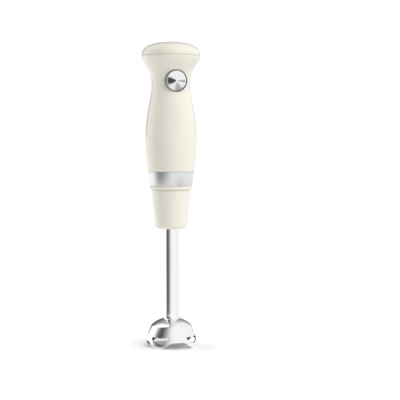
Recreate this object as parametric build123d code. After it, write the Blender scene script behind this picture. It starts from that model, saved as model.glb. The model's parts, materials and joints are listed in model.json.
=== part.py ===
from build123d import *
import math
import os

# Immersion blender, standing upright on the four feet of its bell guard. Millimetres.
# Z runs up the drive axis, the power button faces -Y, and the origin is on the
# surface it stands on, under the drive axis.

# ---- driving dimensions: the outside ----
HEIGHT = 383.3              # top of the cap
CAP_R = 36.6                # widest point of the cap, at the seam
SEAM_Z = 366.1              # parting line between the cap and the handle
SEAM_GAP = 0.8              # height of the groove at the parting line
SEAM_DEPTH = 1.1
CAP_LIP = 4.0               # how far the cap's lip drops inside the handle
CAP_LIP_R = 33.2
CAP_LIP_T = 1.6
CROWN_POWER = 2.5           # superellipse of the cap: 2 is round, higher is squarer
CROWN_STEPS = 10
NECK_R = 24.1               # narrowest point of the grip
NECK_Z = 329.5
BELLY_R = 31.95             # widest point of the motor housing
BELLY_Z = 267.5
WALL = 2.2                  # moulded wall
BAND_TOP_Z = 221.5
BAND_TOP_R = 28.75
BAND_BOTTOM_Z = 203.0
BAND_BOTTOM_R = 26.6
BAND_T = 0.8                # sheet of the metal band
BEAD_R = 26.6               # cream bead under the band
BEAD_BOTTOM_Z = 198.2
COLLAR_TOP_Z = 197.9
COLLAR_TOP_R = 24.4
COLLAR_LOW_Z = 153.5
COLLAR_LOW_R = 20.1
COLLAR_BOTTOM_Z = 148.8
COLLAR_WALL = 1.9

# ---- the button ----
BUTTON_Z = 334.0            # height of the button's centre
BUTTON_FACE_Y = -26.6       # its face, in front of the axis
BUTTON_TILT = 6.0           # degrees that the face leans down
BEZEL_R = 14.0
BEZEL_T = 1.1
BEZEL_DEPTH = 10.5
BEZEL_FLOOR = 1.5
BUTTON_GAP = 0.35           # between the button and its bezel
BUTTON_CONE = 1.5           # how far the button's middle stands above its rim
STEM_R = 3.0
RUNNING = 0.06              # radial clearance of a running fit

# ---- the twist lock between handle and leg ----
SPIGOT_R = 18.2
SPIGOT_BORE_R = 13.5
SPIGOT_BOTTOM_Z = 185.5
SPIGOT_TOP_Z = 203.5        # underside of its flange
SPIGOT_FLANGE_T = 2.5
NOSE_BORE_R = 22.0
NOSE_TOP_Z = 214.5
SOCKET_R = 18.7
SOCKET_FLOOR_Z = 184.0
LUG_R = 20.3
GROOVE_R = 20.7
LUG_BOTTOM_Z = 187.0
LUG_HEIGHT = 3.0
LUG_HALF_ANGLE = 11.0
GROOVE_HALF_ANGLE = 12.6
LUG_COUNT = 3
TURN_PER_MM = 5.0           # degrees of twist for each millimetre that the leg drops
INSERT_R = 21.9             # outside of the sleeve pressed into the collar

# ---- the leg and the shaft ----
TUBE_R = 9.05
TUBE_T = 1.0
TUBE_TOP_Z = 182.0
TUBE_FOOT_Z = 34.6
TUBE_FLARE_R = 10.4
SHAFT_R = 3.0
BUSH_CLEARANCE = 0.05

# ---- the bell guard ----
BELL_T = 1.5
BELL_SHOULDER = (25.2, 26.2)
BELL_RIM_R = 33.2
ARCH_Z = 8.0                # underside of the arches between the feet
FOOT_ARC_R = 16.6
FOOT_ARC_Z = 16.3           # its centre: a little low, so that each foot has a flat
WINDOW_ARC_R = 13.9
WINDOW_ARC_Z = 19.6
WINDOW_TOP_R = 56.5         # the window's upper edge sags by this large radius
WINDOW_TOP_Z = 13.3
FOOT_BLEND_R = 10.0          # rounds each foot in to the arch beside it
FOOT_ANGLES = (45, 135, 225, 315)
FOOT_FROM_R = 20.0          # the feet's outline is cut outward from here

# ---- the blade ----
BLADE_EYE_R = 6.0
BLADE_LOW_Z = 11.4
BLADE_EYE_T = 1.8
WING_T = 1.5
WING_PITCH = 7.0            # degrees
WING_ANGLES = (90, 210, 330)
HUB_TOP_Z = 18.2
NUT_LOW_Z = 8.2
NUT_FLAT_R = 5.0
SHAFT_FOOT_Z = 6.4
SHAFT_HEAD_Z = 198.0

# ---- the motor ----
STATOR_R = 20.5
STATOR_BORE_R = 13.2
CORE_R = 12.5
CORE_Z = (246.0, 276.0)
COMMUTATOR_Z = (284.0, 296.0)
COMMUTATOR_R = 9.0
BRUSH_Z = 290.0
FAN_Z = 228.0
FAN_R = 15.8
FAN_BLADES = 9
FAN_HEIGHT = 8.0
FAN_T = 1.5
SLOTS = 12                  # of the armature
SHAFT_HUB_R = 6.0
FRAME_R = (19.3, 21.3)      # inside and outside of the bracket walls
BEARING_R = 8.0
LOWER_BEARING_Z = (219.0, 225.0)
UPPER_BEARING_Z = (303.5, 309.5)
SHAFT_TOP_Z = 313.0
COUPLING_BOTTOM_Z = 190.0
COUPLING_FLOOR_Z = 204.0    # roof of the splined cup; the motor shaft ends here
COUPLING_TOP_Z = 213.5
MOTOR_SCREW_Y = 18.3

# ---- the cord inlet, high on the back ----
INLET_Z = 355.0
INLET_Y = 31.0
INLET_TILT = 30.0           # degrees that it points below level
CORD_BORE_R = 3.3
GROMMET_R = 4.6
GROMMET_FLANGE_R = 6.5
GROMMET_OUT = 0.3           # spot faces that its two flanges sit on, along the cord
GROMMET_IN = -4.4

# ---- screws ----
SCREW_R = 1.5
SCREW_HEAD_R = 2.8
HOUSING_SCREW_X = 25.0      # the four screws that close the grip, either side of the motor
HOUSING_SCREW_ZS = (285.0, 250.0)
POST_INNER_X = 21.9         # inner face of the ribs that take the screws
POST_HALF_HEIGHT = 3.2
POST_DEPTH = 11.0           # how far a rib reaches into the front shell
SCREW_SEAT_Y = 10.0         # the heads bear here, in the rear shell
SCREW_LENGTH = 18.0


def turned(points):
    """Solid of revolution about Z from a closed outline of (radius, height) points."""
    return revolve(Plane.XZ * make_face(Polyline(*points, close=True)), Axis.Z, 360)


def turned_lines(*lines):
    """Solid of revolution about Z from curves that close end to end."""
    outline = Curve() + list(lines)
    return revolve(Plane.XZ * make_face(outline), Axis.Z, 360)


def disc(radius, low, high, x=0.0, y=0.0):
    """Upright cylinder between two heights."""
    return Pos(x, y, (low + high) / 2) * Cylinder(radius, high - low)


def ring(inner, outer, low, high):
    """Upright tube between two heights."""
    return disc(outer, low, high) - disc(inner, low - 1, high + 1)


def block(low, high):
    """Box from one corner to the opposite one."""
    size = [b - a for a, b in zip(low, high)]
    middle = [(a + b) / 2 for a, b in zip(low, high)]
    return Pos(*middle) * Box(*size)


def turned_to(shape, angle):
    return Rot(0, 0, angle) * shape


def sector(inner, outer, half_angle):
    """Flat slice of a ring, centred on the X axis."""
    a = math.radians(half_angle)
    inner_ends = [(inner * math.cos(s * a), inner * math.sin(s * a)) for s in (-1, 1)]
    outer_ends = [(outer * math.cos(s * a), outer * math.sin(s * a)) for s in (-1, 1)]
    edges = [
        ThreePointArc(inner_ends[0], (inner, 0), inner_ends[1]),
        Line(inner_ends[1], outer_ends[1]),
        ThreePointArc(outer_ends[1], (outer, 0), outer_ends[0]),
        Line(outer_ends[0], inner_ends[0]),
    ]
    return make_face(Curve() + edges)


def twisted(face, low, high, start_angle):
    """Extrude a flat face upwards while it turns with the lead of the lock."""
    turn = (high - low) * TURN_PER_MM
    prism = Solid.extrude_linear_with_rotation(face.face(), (0, 0, 0), (0, 0, high - low), turn)
    return Pos(0, 0, low) * (Rot(0, 0, start_angle) * prism)


# local frame of the button: its Z points out of the face
BUTTON_PLANE = Plane(
    origin=(0, BUTTON_FACE_Y, BUTTON_Z),
    x_dir=(1, 0, 0),
    z_dir=(0, -math.cos(math.radians(BUTTON_TILT)), -math.sin(math.radians(BUTTON_TILT))),
)
# local frame of the cord inlet: its Z points the way the cord leaves
INLET_PLANE = Plane(
    origin=(0, INLET_Y, INLET_Z),
    x_dir=(1, 0, 0),
    z_dir=(0, math.cos(math.radians(INLET_TILT)), -math.sin(math.radians(INLET_TILT))),
)


# ======================================================================== handle
def handle_line(inset):
    """The grip's side: cap seam, narrow neck, full belly, top of the band."""
    points = [
        (CAP_R - inset, SEAM_Z - SEAM_GAP / 2),
        (29.3 - inset, 351.6),
        (NECK_R - inset, NECK_Z),
        (28.3 - inset, 301.0),
        (BELLY_R - inset, BELLY_Z),
        (BAND_TOP_R - inset, BAND_TOP_Z),
    ]
    return Spline(*points, tangents=[(-0.12, -1), (-0.14, -1)])


def housing():
    """Whole handle tube before it is parted: grip, then a thinner tail under the band."""
    outer = handle_line(0)
    inner = handle_line(WALL)
    tail = BAND_T + 0.1
    outside = [
        outer @ 1,
        (BAND_TOP_R - tail, BAND_TOP_Z),
        (BAND_BOTTOM_R - tail, BAND_BOTTOM_Z),
        (24.5, BAND_BOTTOM_Z),
        (24.5, 212.0),
        inner @ 1,
    ]
    shell = turned_lines(outer, Polyline(*outside), inner, Line(inner @ 0, outer @ 0))
    return shell


def housing_halves():
    shell = housing()
    front_side = block((-60, -60, 150), (60, 0, 400))
    rear_side = block((-60, 0, 150), (60, 60, 400))
    screw_places = [(x, z) for z in HOUSING_SCREW_ZS for x in (-HOUSING_SCREW_X, HOUSING_SCREW_X)]
    front = shell & front_side
    rear = shell & rear_side
    middle_line = handle_line(WALL / 2)
    room = turned_lines(
        middle_line,
        Polyline(middle_line @ 1, (0, BAND_TOP_Z), (0, SEAM_Z - SEAM_GAP / 2), middle_line @ 0),
    )
    lying = Rot(90, 0, 0)
    head_t = 2.2
    screws = None
    for x, z in screw_places:
        near, far = sorted((math.copysign(POST_INNER_X, x), math.copysign(BELLY_R, x)))
        post = block((near, -POST_DEPTH, z - POST_HALF_HEIGHT), (far, 60, z + POST_HALF_HEIGHT))
        post = post & room
        front = front + (post & front_side)
        rear = rear + (post & rear_side)
        well = Pos(x, SCREW_SEAT_Y + 25, z) * lying * Cylinder(SCREW_HEAD_R, 50)
        middle_y = SCREW_SEAT_Y - SCREW_LENGTH / 2
        pilot = Pos(x, middle_y + 3, z) * lying * Cylinder(SCREW_R, SCREW_LENGTH + 6)
        front = front - pilot
        rear = rear - pilot - well
        screw = Pos(x, middle_y, z) * lying * Cylinder(SCREW_R, SCREW_LENGTH)
        head_y = SCREW_SEAT_Y + head_t / 2
        head = Pos(x, head_y, z) * lying * Cylinder(SCREW_HEAD_R - 0.2, head_t)
        cross = Pos(x, SCREW_SEAT_Y + head_t, z) * (Box(3.2, 1.4, 0.7) + Box(0.7, 1.4, 3.2))
        one = screw + head - cross
        screws = one if screws is None else screws + one
    front = front - BUTTON_PLANE * Cylinder(BEZEL_R, 40)
    seat = disc(GROMMET_R, -20, 20) + disc(GROMMET_FLANGE_R, GROMMET_OUT, 20)
    seat = seat + disc(GROMMET_FLANGE_R, -20, GROMMET_IN)
    rear = rear - INLET_PLANE * seat
    return front, rear, screws


def crown_line(radius, top, base):
    """Quarter superellipse from the cap's edge, straight up, over to its middle."""
    turns = [math.radians(90 * i / CROWN_STEPS) for i in range(CROWN_STEPS + 1)]
    power = 2 / CROWN_POWER
    points = [
        (radius * max(math.cos(t), 0) ** power, base + (top - base) * math.sin(t) ** power)
        for t in turns
    ]
    return Spline(*points, tangents=[(0, 1), (-1, 0)])


def top_cap():
    """Flattened dome with a soft shoulder, and a lip that drops inside the handle."""
    base = SEAM_Z + SEAM_GAP / 2
    seat = SEAM_Z - SEAM_GAP / 2
    lip = seat - CAP_LIP
    outer = crown_line(CAP_R, HEIGHT, base)
    inner = crown_line(CAP_LIP_R - CAP_LIP_T, HEIGHT - WALL, base)
    step = [
        (CAP_LIP_R - CAP_LIP_T, base),
        (CAP_LIP_R - CAP_LIP_T, lip),
        (CAP_LIP_R, lip + 0.8),
        (CAP_LIP_R, seat),
        (CAP_R - SEAM_DEPTH, seat),
        (CAP_R - SEAM_DEPTH, base),
        (CAP_R, base),
    ]
    return turned_lines(outer, Line(outer @ 1, inner @ 1), inner, Polyline(*step))


def trim_band():
    """Rolled metal sleeve over the tail of the handle."""
    low = BAND_BOTTOM_Z + 0.15
    high = BAND_TOP_Z - 0.35
    rise = (BAND_TOP_R - BAND_BOTTOM_R) / (BAND_TOP_Z - BAND_BOTTOM_Z)
    low_r = BAND_BOTTOM_R + rise * (low - BAND_BOTTOM_Z)
    high_r = BAND_BOTTOM_R + rise * (high - BAND_BOTTOM_Z)
    points = [(low_r, low), (high_r, high), (high_r - BAND_T, high), (low_r - BAND_T, low)]
    return turned(points)


def nose_ring():
    """Bead under the band, with the cup that clamps the tail of the grip from inside."""
    bead = ThreePointArc((25.0, BEAD_BOTTOM_Z), (BEAD_R, 200.3), (25.9, BAND_BOTTOM_Z))
    rest = Polyline(
        (25.9, BAND_BOTTOM_Z),
        (24.3, BAND_BOTTOM_Z),
        (24.3, NOSE_TOP_Z),
        (NOSE_BORE_R, NOSE_TOP_Z),
        (NOSE_BORE_R, SPIGOT_TOP_Z),
        (SPIGOT_R, SPIGOT_TOP_Z),
        (SPIGOT_R, BEAD_BOTTOM_Z),
        (25.0, BEAD_BOTTOM_Z),
    )
    return turned_lines(bead, rest)


def lock_spigot():
    """Flanged spigot inside the bead, with the three lugs of the twist lock."""
    body = turned([
        (SPIGOT_BORE_R, SPIGOT_BOTTOM_Z),
        (SPIGOT_R - 0.8, SPIGOT_BOTTOM_Z),
        (SPIGOT_R, SPIGOT_BOTTOM_Z + 0.8),
        (SPIGOT_R, SPIGOT_TOP_Z),
        (NOSE_BORE_R, SPIGOT_TOP_Z),
        (NOSE_BORE_R, SPIGOT_TOP_Z + SPIGOT_FLANGE_T),
        (SPIGOT_BORE_R, SPIGOT_TOP_Z + SPIGOT_FLANGE_T),
    ])
    lug = sector(SPIGOT_R - 0.5, LUG_R, LUG_HALF_ANGLE)
    for i in range(LUG_COUNT):
        start = i * 360 / LUG_COUNT
        body = body + twisted(lug, LUG_BOTTOM_Z, LUG_BOTTOM_Z + LUG_HEIGHT, start)
    return body


def button_parts():
    """Bezel, button cap, stem, switch and board, drawn in the button's own frame."""
    inner = BEZEL_R - BEZEL_T
    bezel_outline = [
        (STEM_R + RUNNING, -BEZEL_DEPTH),
        (BEZEL_R, -BEZEL_DEPTH),
        (BEZEL_R, -0.5),
        (BEZEL_R - 0.5, 0),
        (inner, 0),
        (inner, -BEZEL_DEPTH + BEZEL_FLOOR),
        (STEM_R + RUNNING, -BEZEL_DEPTH + BEZEL_FLOOR),
    ]
    bezel = turned(bezel_outline)
    cap_r = inner - BUTTON_GAP
    rim = -0.3
    cap_outline = [
        (0, rim + BUTTON_CONE),
        (1.2, rim + BUTTON_CONE - 0.1),
        (cap_r - 0.6, rim + 0.1),
        (cap_r, rim - 0.4),
        (cap_r, rim - 5.0),
        (cap_r - 1.3, rim - 5.0),
        (cap_r - 1.3, rim - 2.0),
        (0, rim - 2.0),
    ]
    cap = turned(cap_outline)
    stem = disc(STEM_R, -13.0, rim - 2.0) + disc(6.0, rim - 3.4, rim - 2.0)
    plunger = disc(1.6, -18.5, -13.0)
    switch = block((-6.5, -4.0, -22.4), (6.5, 4.0, -15.4)) - disc(1.6 + RUNNING, -21.0, -15.0)
    board = block((-14.0, -17.0, -24.0), (14.0, 17.0, -22.4))
    holes = [(sx * 11.5, sy * 14.5) for sx in (-1, 1) for sy in (-1, 1)]
    posts = None
    for x, y in holes:
        board = board - disc(SCREW_R, -25, -22, x, y)
        post = disc(SCREW_R, -26.4, -22.4, x, y) + disc(SCREW_HEAD_R - 0.4, -22.4, -20.8, x, y)
        posts = post if posts is None else posts + post
    capacitor = Pos(5.5, 4.0, -30.2) * Box(10, 16, 12.4)
    capacitor = fillet(capacitor.edges().filter_by(Axis.Y), 1.0)
    choke = Pos(-7.0, 7.0, -30.0) * Rot(90, 0, 0) * Cylinder(5.0, 13.0)
    choke = choke + block((-9.0, 1.0, -25.5), (-5.0, 13.0, -24.0))
    triac = block((-8.5, -12.0, -27.6), (0.0, -2.5, -24.0))
    triac = triac + block((-9.5, -13.0, -29.0), (-1.0, -3.0, -27.6))
    shapes = {
        "button_bezel": bezel,
        "power_button": cap,
        "button_stem": stem,
        "switch_plunger": plunger,
        "switch_body": switch,
        "circuit_board": board,
        "board_screws": posts,
        "suppression_capacitor": capacitor,
        "choke_coil": choke,
        "speed_triac": triac,
    }
    return {name: BUTTON_PLANE * shape for name, shape in shapes.items()}


def cord_grommet():
    """Flanged rubber ring that lines the cord's hole in the back shell."""
    flange = GROMMET_FLANGE_R - 0.1
    outline = [
        (CORD_BORE_R, -6.0),
        (flange, -6.0),
        (flange, GROMMET_IN),
        (GROMMET_R, GROMMET_IN),
        (GROMMET_R, GROMMET_OUT),
        (flange, GROMMET_OUT),
        (flange, 1.0),
        (flange - 0.8, 1.8),
        (CORD_BORE_R, 1.8),
    ]
    return INLET_PLANE * turned(outline)


# ======================================================================== motor
def brackets():
    """Lower and upper end brackets, each a plate, a bearing cup and a slotted wall."""
    inner, outer = FRAME_R
    lower = disc(24.4, 214.5, 217.5) + disc(10.5, 217.5, LOWER_BEARING_Z[1])
    lower = lower + ring(inner, outer, 217.5, CORE_Z[0])
    lower = lower - disc(BEARING_R, *LOWER_BEARING_Z) - disc(6.0, 214, 220)
    upper = disc(22.6, 300.0, 303.0) + disc(10.5, 303.0, UPPER_BEARING_Z[1] + 1.5)
    upper = upper + ring(inner, outer, CORE_Z[1], 300.0)
    upper = upper - disc(BEARING_R, *UPPER_BEARING_Z) - disc(6.0, 299, 312)
    window = block((12, -6.5, 222.0), (30, 6.5, 242.0))
    for angle in (0, 180):
        lower = lower - turned_to(window, angle)
    slot = block((11.5, -2.6, 213.0), (17.0, 2.6, 217.6))
    vent = block((12, -2.6, 298.0), (18, 2.6, 305.0))
    for angle in (0, 60, 120, 180, 240, 300):
        lower = lower - turned_to(slot, angle)
        upper = upper - turned_to(vent, angle)
    for angle in (0, 180):
        upper = upper - turned_to(block((15, -2.75, 286.5), (30, 2.75, 293.5)), angle)
    for y in (-MOTOR_SCREW_Y, MOTOR_SCREW_Y):
        hole = disc(SCREW_R, 210, 310, 0, y)
        lower = lower - hole
        upper = upper - hole
    return lower, upper


def motor_screws():
    """Two long screws that clamp the brackets to the field stack."""
    screws = None
    for y in (-MOTOR_SCREW_Y, MOTOR_SCREW_Y):
        one = disc(SCREW_R, 214.5, 303.0, 0, y) + disc(SCREW_HEAD_R, 303.0, 305.0, 0, y)
        one = one - Pos(0, y, 304.6) * Box(0.8, 4.0, 1.0)
        screws = one if screws is None else screws + one
    return screws


def stator():
    """Field stack with two poles, and a saddle coil round each."""
    low, high = CORE_Z
    core = ring(STATOR_BORE_R, STATOR_R, low, high)
    pocket = sector(14.6, 18.4, 34.0)
    for angle in (0, 180):
        space = extrude(Pos(0, 0, low - 1) * pocket, amount=high - low + 2)
        gap = block((STATOR_BORE_R - 1, -6.0, low - 1), (15.2, 6.0, high + 1))
        core = core - turned_to(space, angle) - turned_to(gap, angle)
    for y in (-MOTOR_SCREW_Y, MOTOR_SCREW_Y):
        core = core - disc(SCREW_R, low - 1, high + 1, 0, y)
    coil_side = extrude(Pos(0, 0, low - 5) * sector(14.9, 18.1, 32.0), amount=high - low + 10)
    coils = turned_to(coil_side, 0) + turned_to(coil_side, 180)
    crown = sector(14.9, 16.6, 88.0)
    for angle in (0, 180):
        for z in (low - 5.0, high + 0.4):
            coils = coils + turned_to(extrude(Pos(0, 0, z) * crown, amount=4.6), angle)
    return core, coils


def armature():
    """Slotted core, its windings, the commutator and the fan on the motor shaft."""
    low, high = CORE_Z
    core = ring(SHAFT_R, CORE_R, low, high)
    wind = ring(SHAFT_R, 10.8, low - 4.5, low) + ring(SHAFT_R, 10.8, high, high + 4.5)
    slot = block((6.0, -1.2, low - 1), (11.2, 1.2, high + 1))
    mouth = block((11.0, -0.6, low - 1), (13.0, 0.6, high + 1))
    bar = block((6.1, -1.1, low - 1), (10.7, 1.1, high + 1))
    for i in range(SLOTS):
        angle = i * 360 / SLOTS
        core = core - turned_to(slot, angle) - turned_to(mouth, angle)
        wind = wind + turned_to(bar, angle)
    commutator = ring(SHAFT_R, COMMUTATOR_R, *COMMUTATOR_Z)
    riser = ring(SHAFT_R, COMMUTATOR_R + 1.0, COMMUTATOR_Z[0] - 1.5, COMMUTATOR_Z[0])
    commutator = commutator + riser
    cut = block((COMMUTATOR_R - 1.2, -0.25, 280.0), (COMMUTATOR_R + 2, 0.25, 300.0))
    for i in range(2 * SLOTS):
        commutator = commutator - turned_to(cut, i * 180 / SLOTS)
    hub = ring(SHAFT_R, SHAFT_HUB_R, FAN_Z, FAN_Z + FAN_HEIGHT)
    fan = hub + ring(SHAFT_R, FAN_R, FAN_Z, FAN_Z + FAN_T)
    vane = block((5.0, -0.6, FAN_Z + 1.0), (FAN_R - 0.3, 0.6, FAN_Z + FAN_HEIGHT))
    for i in range(FAN_BLADES):
        fan = fan + turned_to(vane, i * 360 / FAN_BLADES)
    return core, wind, commutator, fan


def brushes():
    """Two carbon brushes in brass boxes, each pushed in by a small coil spring."""
    holder = block((10.6, -2.75, 286.5), (21.6, 2.75, 293.5))
    holder = holder - block((10.0, -2.25, 287.0), (21.0, 2.25, 293.0))
    carbon = block((COMMUTATOR_R + 0.3, -2.15, 287.1), (16.6, 2.15, 292.9))
    wire = 0.3
    coil = Helix(pitch=1.2, height=3.6, radius=1.7)
    profile = Plane(origin=coil @ 0, z_dir=coil % 0) * Circle(wire)
    spring = Pos(16.95, 0, BRUSH_Z) * Rot(0, 90, 0) * sweep(profile, path=coil)
    return [shape + turned_to(shape, 180) for shape in (holder, carbon, spring)]


def coupling_profile(core_r, rib_r, rib_w):
    """Cross-section of the drive coupling: a round core with four ribs."""
    face = Circle(core_r) + Rectangle(2 * rib_r, rib_w) + Rectangle(rib_w, 2 * rib_r)
    return face


def drive_coupling():
    """Cup on the motor shaft; its splined socket takes the plug on the blade shaft."""
    cup = disc(9.5, COUPLING_BOTTOM_Z, COUPLING_FLOOR_Z + 1.5)
    cup = cup + disc(6.5, COUPLING_FLOOR_Z, COUPLING_TOP_Z)
    socket = extrude(
        Pos(0, 0, COUPLING_BOTTOM_Z - 1) * coupling_profile(4.7, 6.8, 3.2),
        amount=COUPLING_FLOOR_Z - COUPLING_BOTTOM_Z + 1,
    )
    return cup - socket - disc(SHAFT_R, COUPLING_FLOOR_Z - 0.5, COUPLING_TOP_Z + 1)


# ======================================================================== leg
def leg_collar():
    """Tapered moulding below the lock, rounded in to the tube at its foot."""
    side = Line((COLLAR_TOP_R, COLLAR_TOP_Z), (COLLAR_LOW_R, COLLAR_LOW_Z))
    round_foot = Spline(
        (COLLAR_LOW_R, COLLAR_LOW_Z),
        (18.6, 150.7),
        (13.4, COLLAR_BOTTOM_Z),
        tangents=[(side % 1), (-1, 0)],
    )
    t = COLLAR_WALL
    inside = Polyline(
        (13.4, COLLAR_BOTTOM_Z),
        (TUBE_R, COLLAR_BOTTOM_Z),
        (TUBE_R, COLLAR_BOTTOM_Z + t),
        (16.4, COLLAR_BOTTOM_Z + t),
        (COLLAR_LOW_R - t, 154.6),
        (INSERT_R - 0.9, 180.0),
        (INSERT_R, 181.0),
        (INSERT_R, COLLAR_TOP_Z),
        (COLLAR_TOP_R, COLLAR_TOP_Z),
    )
    return turned_lines(side, round_foot, inside)


def collar_insert():
    """Sleeve pressed into the collar, with the lock's grooves and the tube's seat."""
    top = COLLAR_TOP_Z - 0.4
    body = turned([
        (5.0, TUBE_TOP_Z),
        (TUBE_R, TUBE_TOP_Z),
        (TUBE_R, 164.0),
        (11.6, 164.0),
        (11.6, 181.0),
        (INSERT_R, 181.0),
        (INSERT_R, top),
        (SOCKET_R, top),
        (SOCKET_R, SOCKET_FLOOR_Z),
        (5.0, SOCKET_FLOOR_Z),
    ])
    low = LUG_BOTTOM_Z - 0.4
    groove = sector(SOCKET_R - 1.0, GROOVE_R, GROOVE_HALF_ANGLE)
    for i in range(LUG_COUNT):
        start = i * 360 / LUG_COUNT - 0.4 * TURN_PER_MM
        body = body - twisted(groove, low, top + 1.0, start)
    return body


def leg_tube():
    """Polished steel tube, flared where it meets the bell guard."""
    flare = ThreePointArc((TUBE_FLARE_R, TUBE_FOOT_Z), (9.35, 36.0), (TUBE_R, 38.6))
    rest = Polyline(
        (TUBE_R, 38.6),
        (TUBE_R, TUBE_TOP_Z),
        (TUBE_R - TUBE_T, TUBE_TOP_Z),
        (TUBE_R - TUBE_T, TUBE_FOOT_Z),
        (TUBE_FLARE_R, TUBE_FOOT_Z),
    )
    return turned_lines(flare, rest)


def foot_outline():
    """A foot seen square on: a round sole, rounded in on both sides to the arches' height."""
    blend_z = ARCH_Z - FOOT_BLEND_R
    apart = FOOT_ARC_R + FOOT_BLEND_R
    half = math.sqrt(apart**2 - (FOOT_ARC_Z - blend_z) ** 2)
    share = FOOT_ARC_R / apart
    touch = (half * share, FOOT_ARC_Z + (blend_z - FOOT_ARC_Z) * share)
    turn = (math.atan2(touch[1] - blend_z, touch[0] - half) + math.pi / 2) / 2
    mid = (half + FOOT_BLEND_R * math.cos(turn), blend_z + FOOT_BLEND_R * math.sin(turn))
    edges = [
        ThreePointArc((half, ARCH_Z), mid, touch),
        ThreePointArc(touch, (0, FOOT_ARC_Z - FOOT_ARC_R), (-touch[0], touch[1])),
        ThreePointArc((-touch[0], touch[1]), (-mid[0], mid[1]), (-half, ARCH_Z)),
        Polyline((-half, ARCH_Z), (-half, ARCH_Z + 1), (half, ARCH_Z + 1), (half, ARCH_Z)),
    ]
    return make_face(Curve() + edges)


def bell_guard():
    """Pressed steel bell with four feet, an arch between each two and a slot in each."""
    dome_out = ThreePointArc((0, 35.2), (15.5, 32.5), BELL_SHOULDER)
    side_out = ThreePointArc(BELL_SHOULDER, (30.2, 15.4), (BELL_RIM_R, 0))
    foot = Line((BELL_RIM_R, 0), (BELL_RIM_R - BELL_T, 0))
    shoulder_in = (BELL_SHOULDER[0] - 1.2, BELL_SHOULDER[1] - 1.1)
    side_in = ThreePointArc((BELL_RIM_R - BELL_T, 0), (30.2 - 1.45, 15.4 - 0.3), shoulder_in)
    dome_in = ThreePointArc(shoulder_in, (15.1, 32.5 - BELL_T), (0, 35.2 - BELL_T))
    bell = turned_lines(dome_out, side_out, foot, side_in, dome_in, Line((0, 35.2 - BELL_T), (0, 35.2)))
    bell = bell - disc(TUBE_FLARE_R, TUBE_FOOT_Z, 40) - disc(8.0, 25, 40)
    below = block((-50, -50, -1), (50, 50, ARCH_Z))
    foot = Pos(FOOT_FROM_R, 0, 0) * extrude(Plane.YZ * foot_outline(), amount=50)
    for angle in FOOT_ANGLES:
        below = below - turned_to(foot, angle)
    bell = bell - below
    window = Pos(0, WINDOW_ARC_Z) * Circle(WINDOW_ARC_R)
    window = window - Pos(0, WINDOW_TOP_Z + WINDOW_TOP_R) * Circle(WINDOW_TOP_R)
    window = fillet(window.vertices(), 1.6)
    punch = extrude(Plane.YZ * window, amount=50)
    for angle in FOOT_ANGLES:
        bell = bell - turned_to(punch, angle)
    return bell


def bearing_housing():
    """Turned sleeve in the crown of the bell; it holds the lower bush and the seal."""
    return turned([
        (6.0, 19.0),
        (8.6, 19.0),
        (9.2, 20.0),
        (9.2, 31.0),
        (8.0, 31.0),
        (8.0, 48.0),
        (6.0, 48.0),
    ])


def bushes():
    """Plain bushes and seals: round pieces that the blade shaft turns in."""
    bore = SHAFT_R + BUSH_CLEARANCE
    tube_fit = TUBE_R - TUBE_T - BUSH_CLEARANCE
    lip = [(bore, 19.4), (5.9, 19.4), (5.9, 23.6), (4.6, 23.6), (4.6, 20.8), (bore, 20.8)]
    return {
        "lower_bush": ring(bore, 6.0 - BUSH_CLEARANCE, 24.0, 46.0),
        "shaft_seal": turned(lip),
        "middle_bush": ring(bore, tube_fit, 104.0, 114.0),
        "upper_bush": ring(bore, tube_fit, 164.0, 176.0),
        "top_seal": turned([
            (bore, 177.0),
            (tube_fit, 177.0),
            (tube_fit, 181.0),
            (bore + 1.2, 181.0),
            (bore, 179.5),
        ]),
    }


# ======================================================================== blade
def shaft_coupling():
    """Ribbed plug on top of the blade shaft."""
    plug = extrude(Pos(0, 0, 186.0) * coupling_profile(4.2, 6.2, 2.4), amount=15.0)
    plug = plug + disc(7.4, 184.6, 186.4)
    tip = turned([(0, 199.5), (7.5, 199.5), (7.5, 205), (0, 205)]) - Pos(0, 0, 199.5) * Cone(
        7.2, 4.2, 3.0, align=(Align.CENTER, Align.CENTER, Align.MIN))
    return plug - tip - disc(SHAFT_R, 180, SHAFT_HEAD_Z)


def blade():
    """Three swept wings on a ring, each pitched a little to drive food down."""
    eye = ring(SHAFT_R, BLADE_EYE_R, BLADE_LOW_Z, BLADE_LOW_Z + BLADE_EYE_T)
    outline = Polyline((3.2, -4.6), (14.0, -4.4), (22.6, 0.6), (22.0, 2.6), (13.0, 3.6), (3.2, 4.6),
                       close=True)
    wing = extrude(make_face(outline), amount=WING_T)
    wing = Pos(0, 0, BLADE_LOW_Z + (BLADE_EYE_T - WING_T) / 2) * Rot(WING_PITCH, 0, 0) * wing
    wings = eye
    for angle in WING_ANGLES:
        wings = wings + (turned_to(wing, angle) - disc(BLADE_EYE_R - 0.2, 0, 30))
    return wings


def blade_pieces():
    """Shaft, hub, blade, nut and thrust washer."""
    hub_low = BLADE_LOW_Z + BLADE_EYE_T
    hub = turned([
        (SHAFT_R, hub_low),
        (BLADE_EYE_R - 0.4, hub_low),
        (BLADE_EYE_R - 0.4, 16.0),
        (4.6, HUB_TOP_Z),
        (SHAFT_R, HUB_TOP_Z),
    ])
    nut = extrude(
        Pos(0, 0, NUT_LOW_Z) * (RegularPolygon(NUT_FLAT_R, 6) - Circle(SHAFT_R)),
        amount=BLADE_LOW_Z - NUT_LOW_Z,
    )
    return {
        "drive_shaft": disc(SHAFT_R, SHAFT_FOOT_Z, SHAFT_HEAD_Z) - disc(1.0, 6.0, 8.0),
        "blade_hub": hub,
        "blade": blade(),
        "blade_nut": nut,
        "thrust_washer": ring(SHAFT_R, 5.4, HUB_TOP_Z, 18.9),
    }


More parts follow.
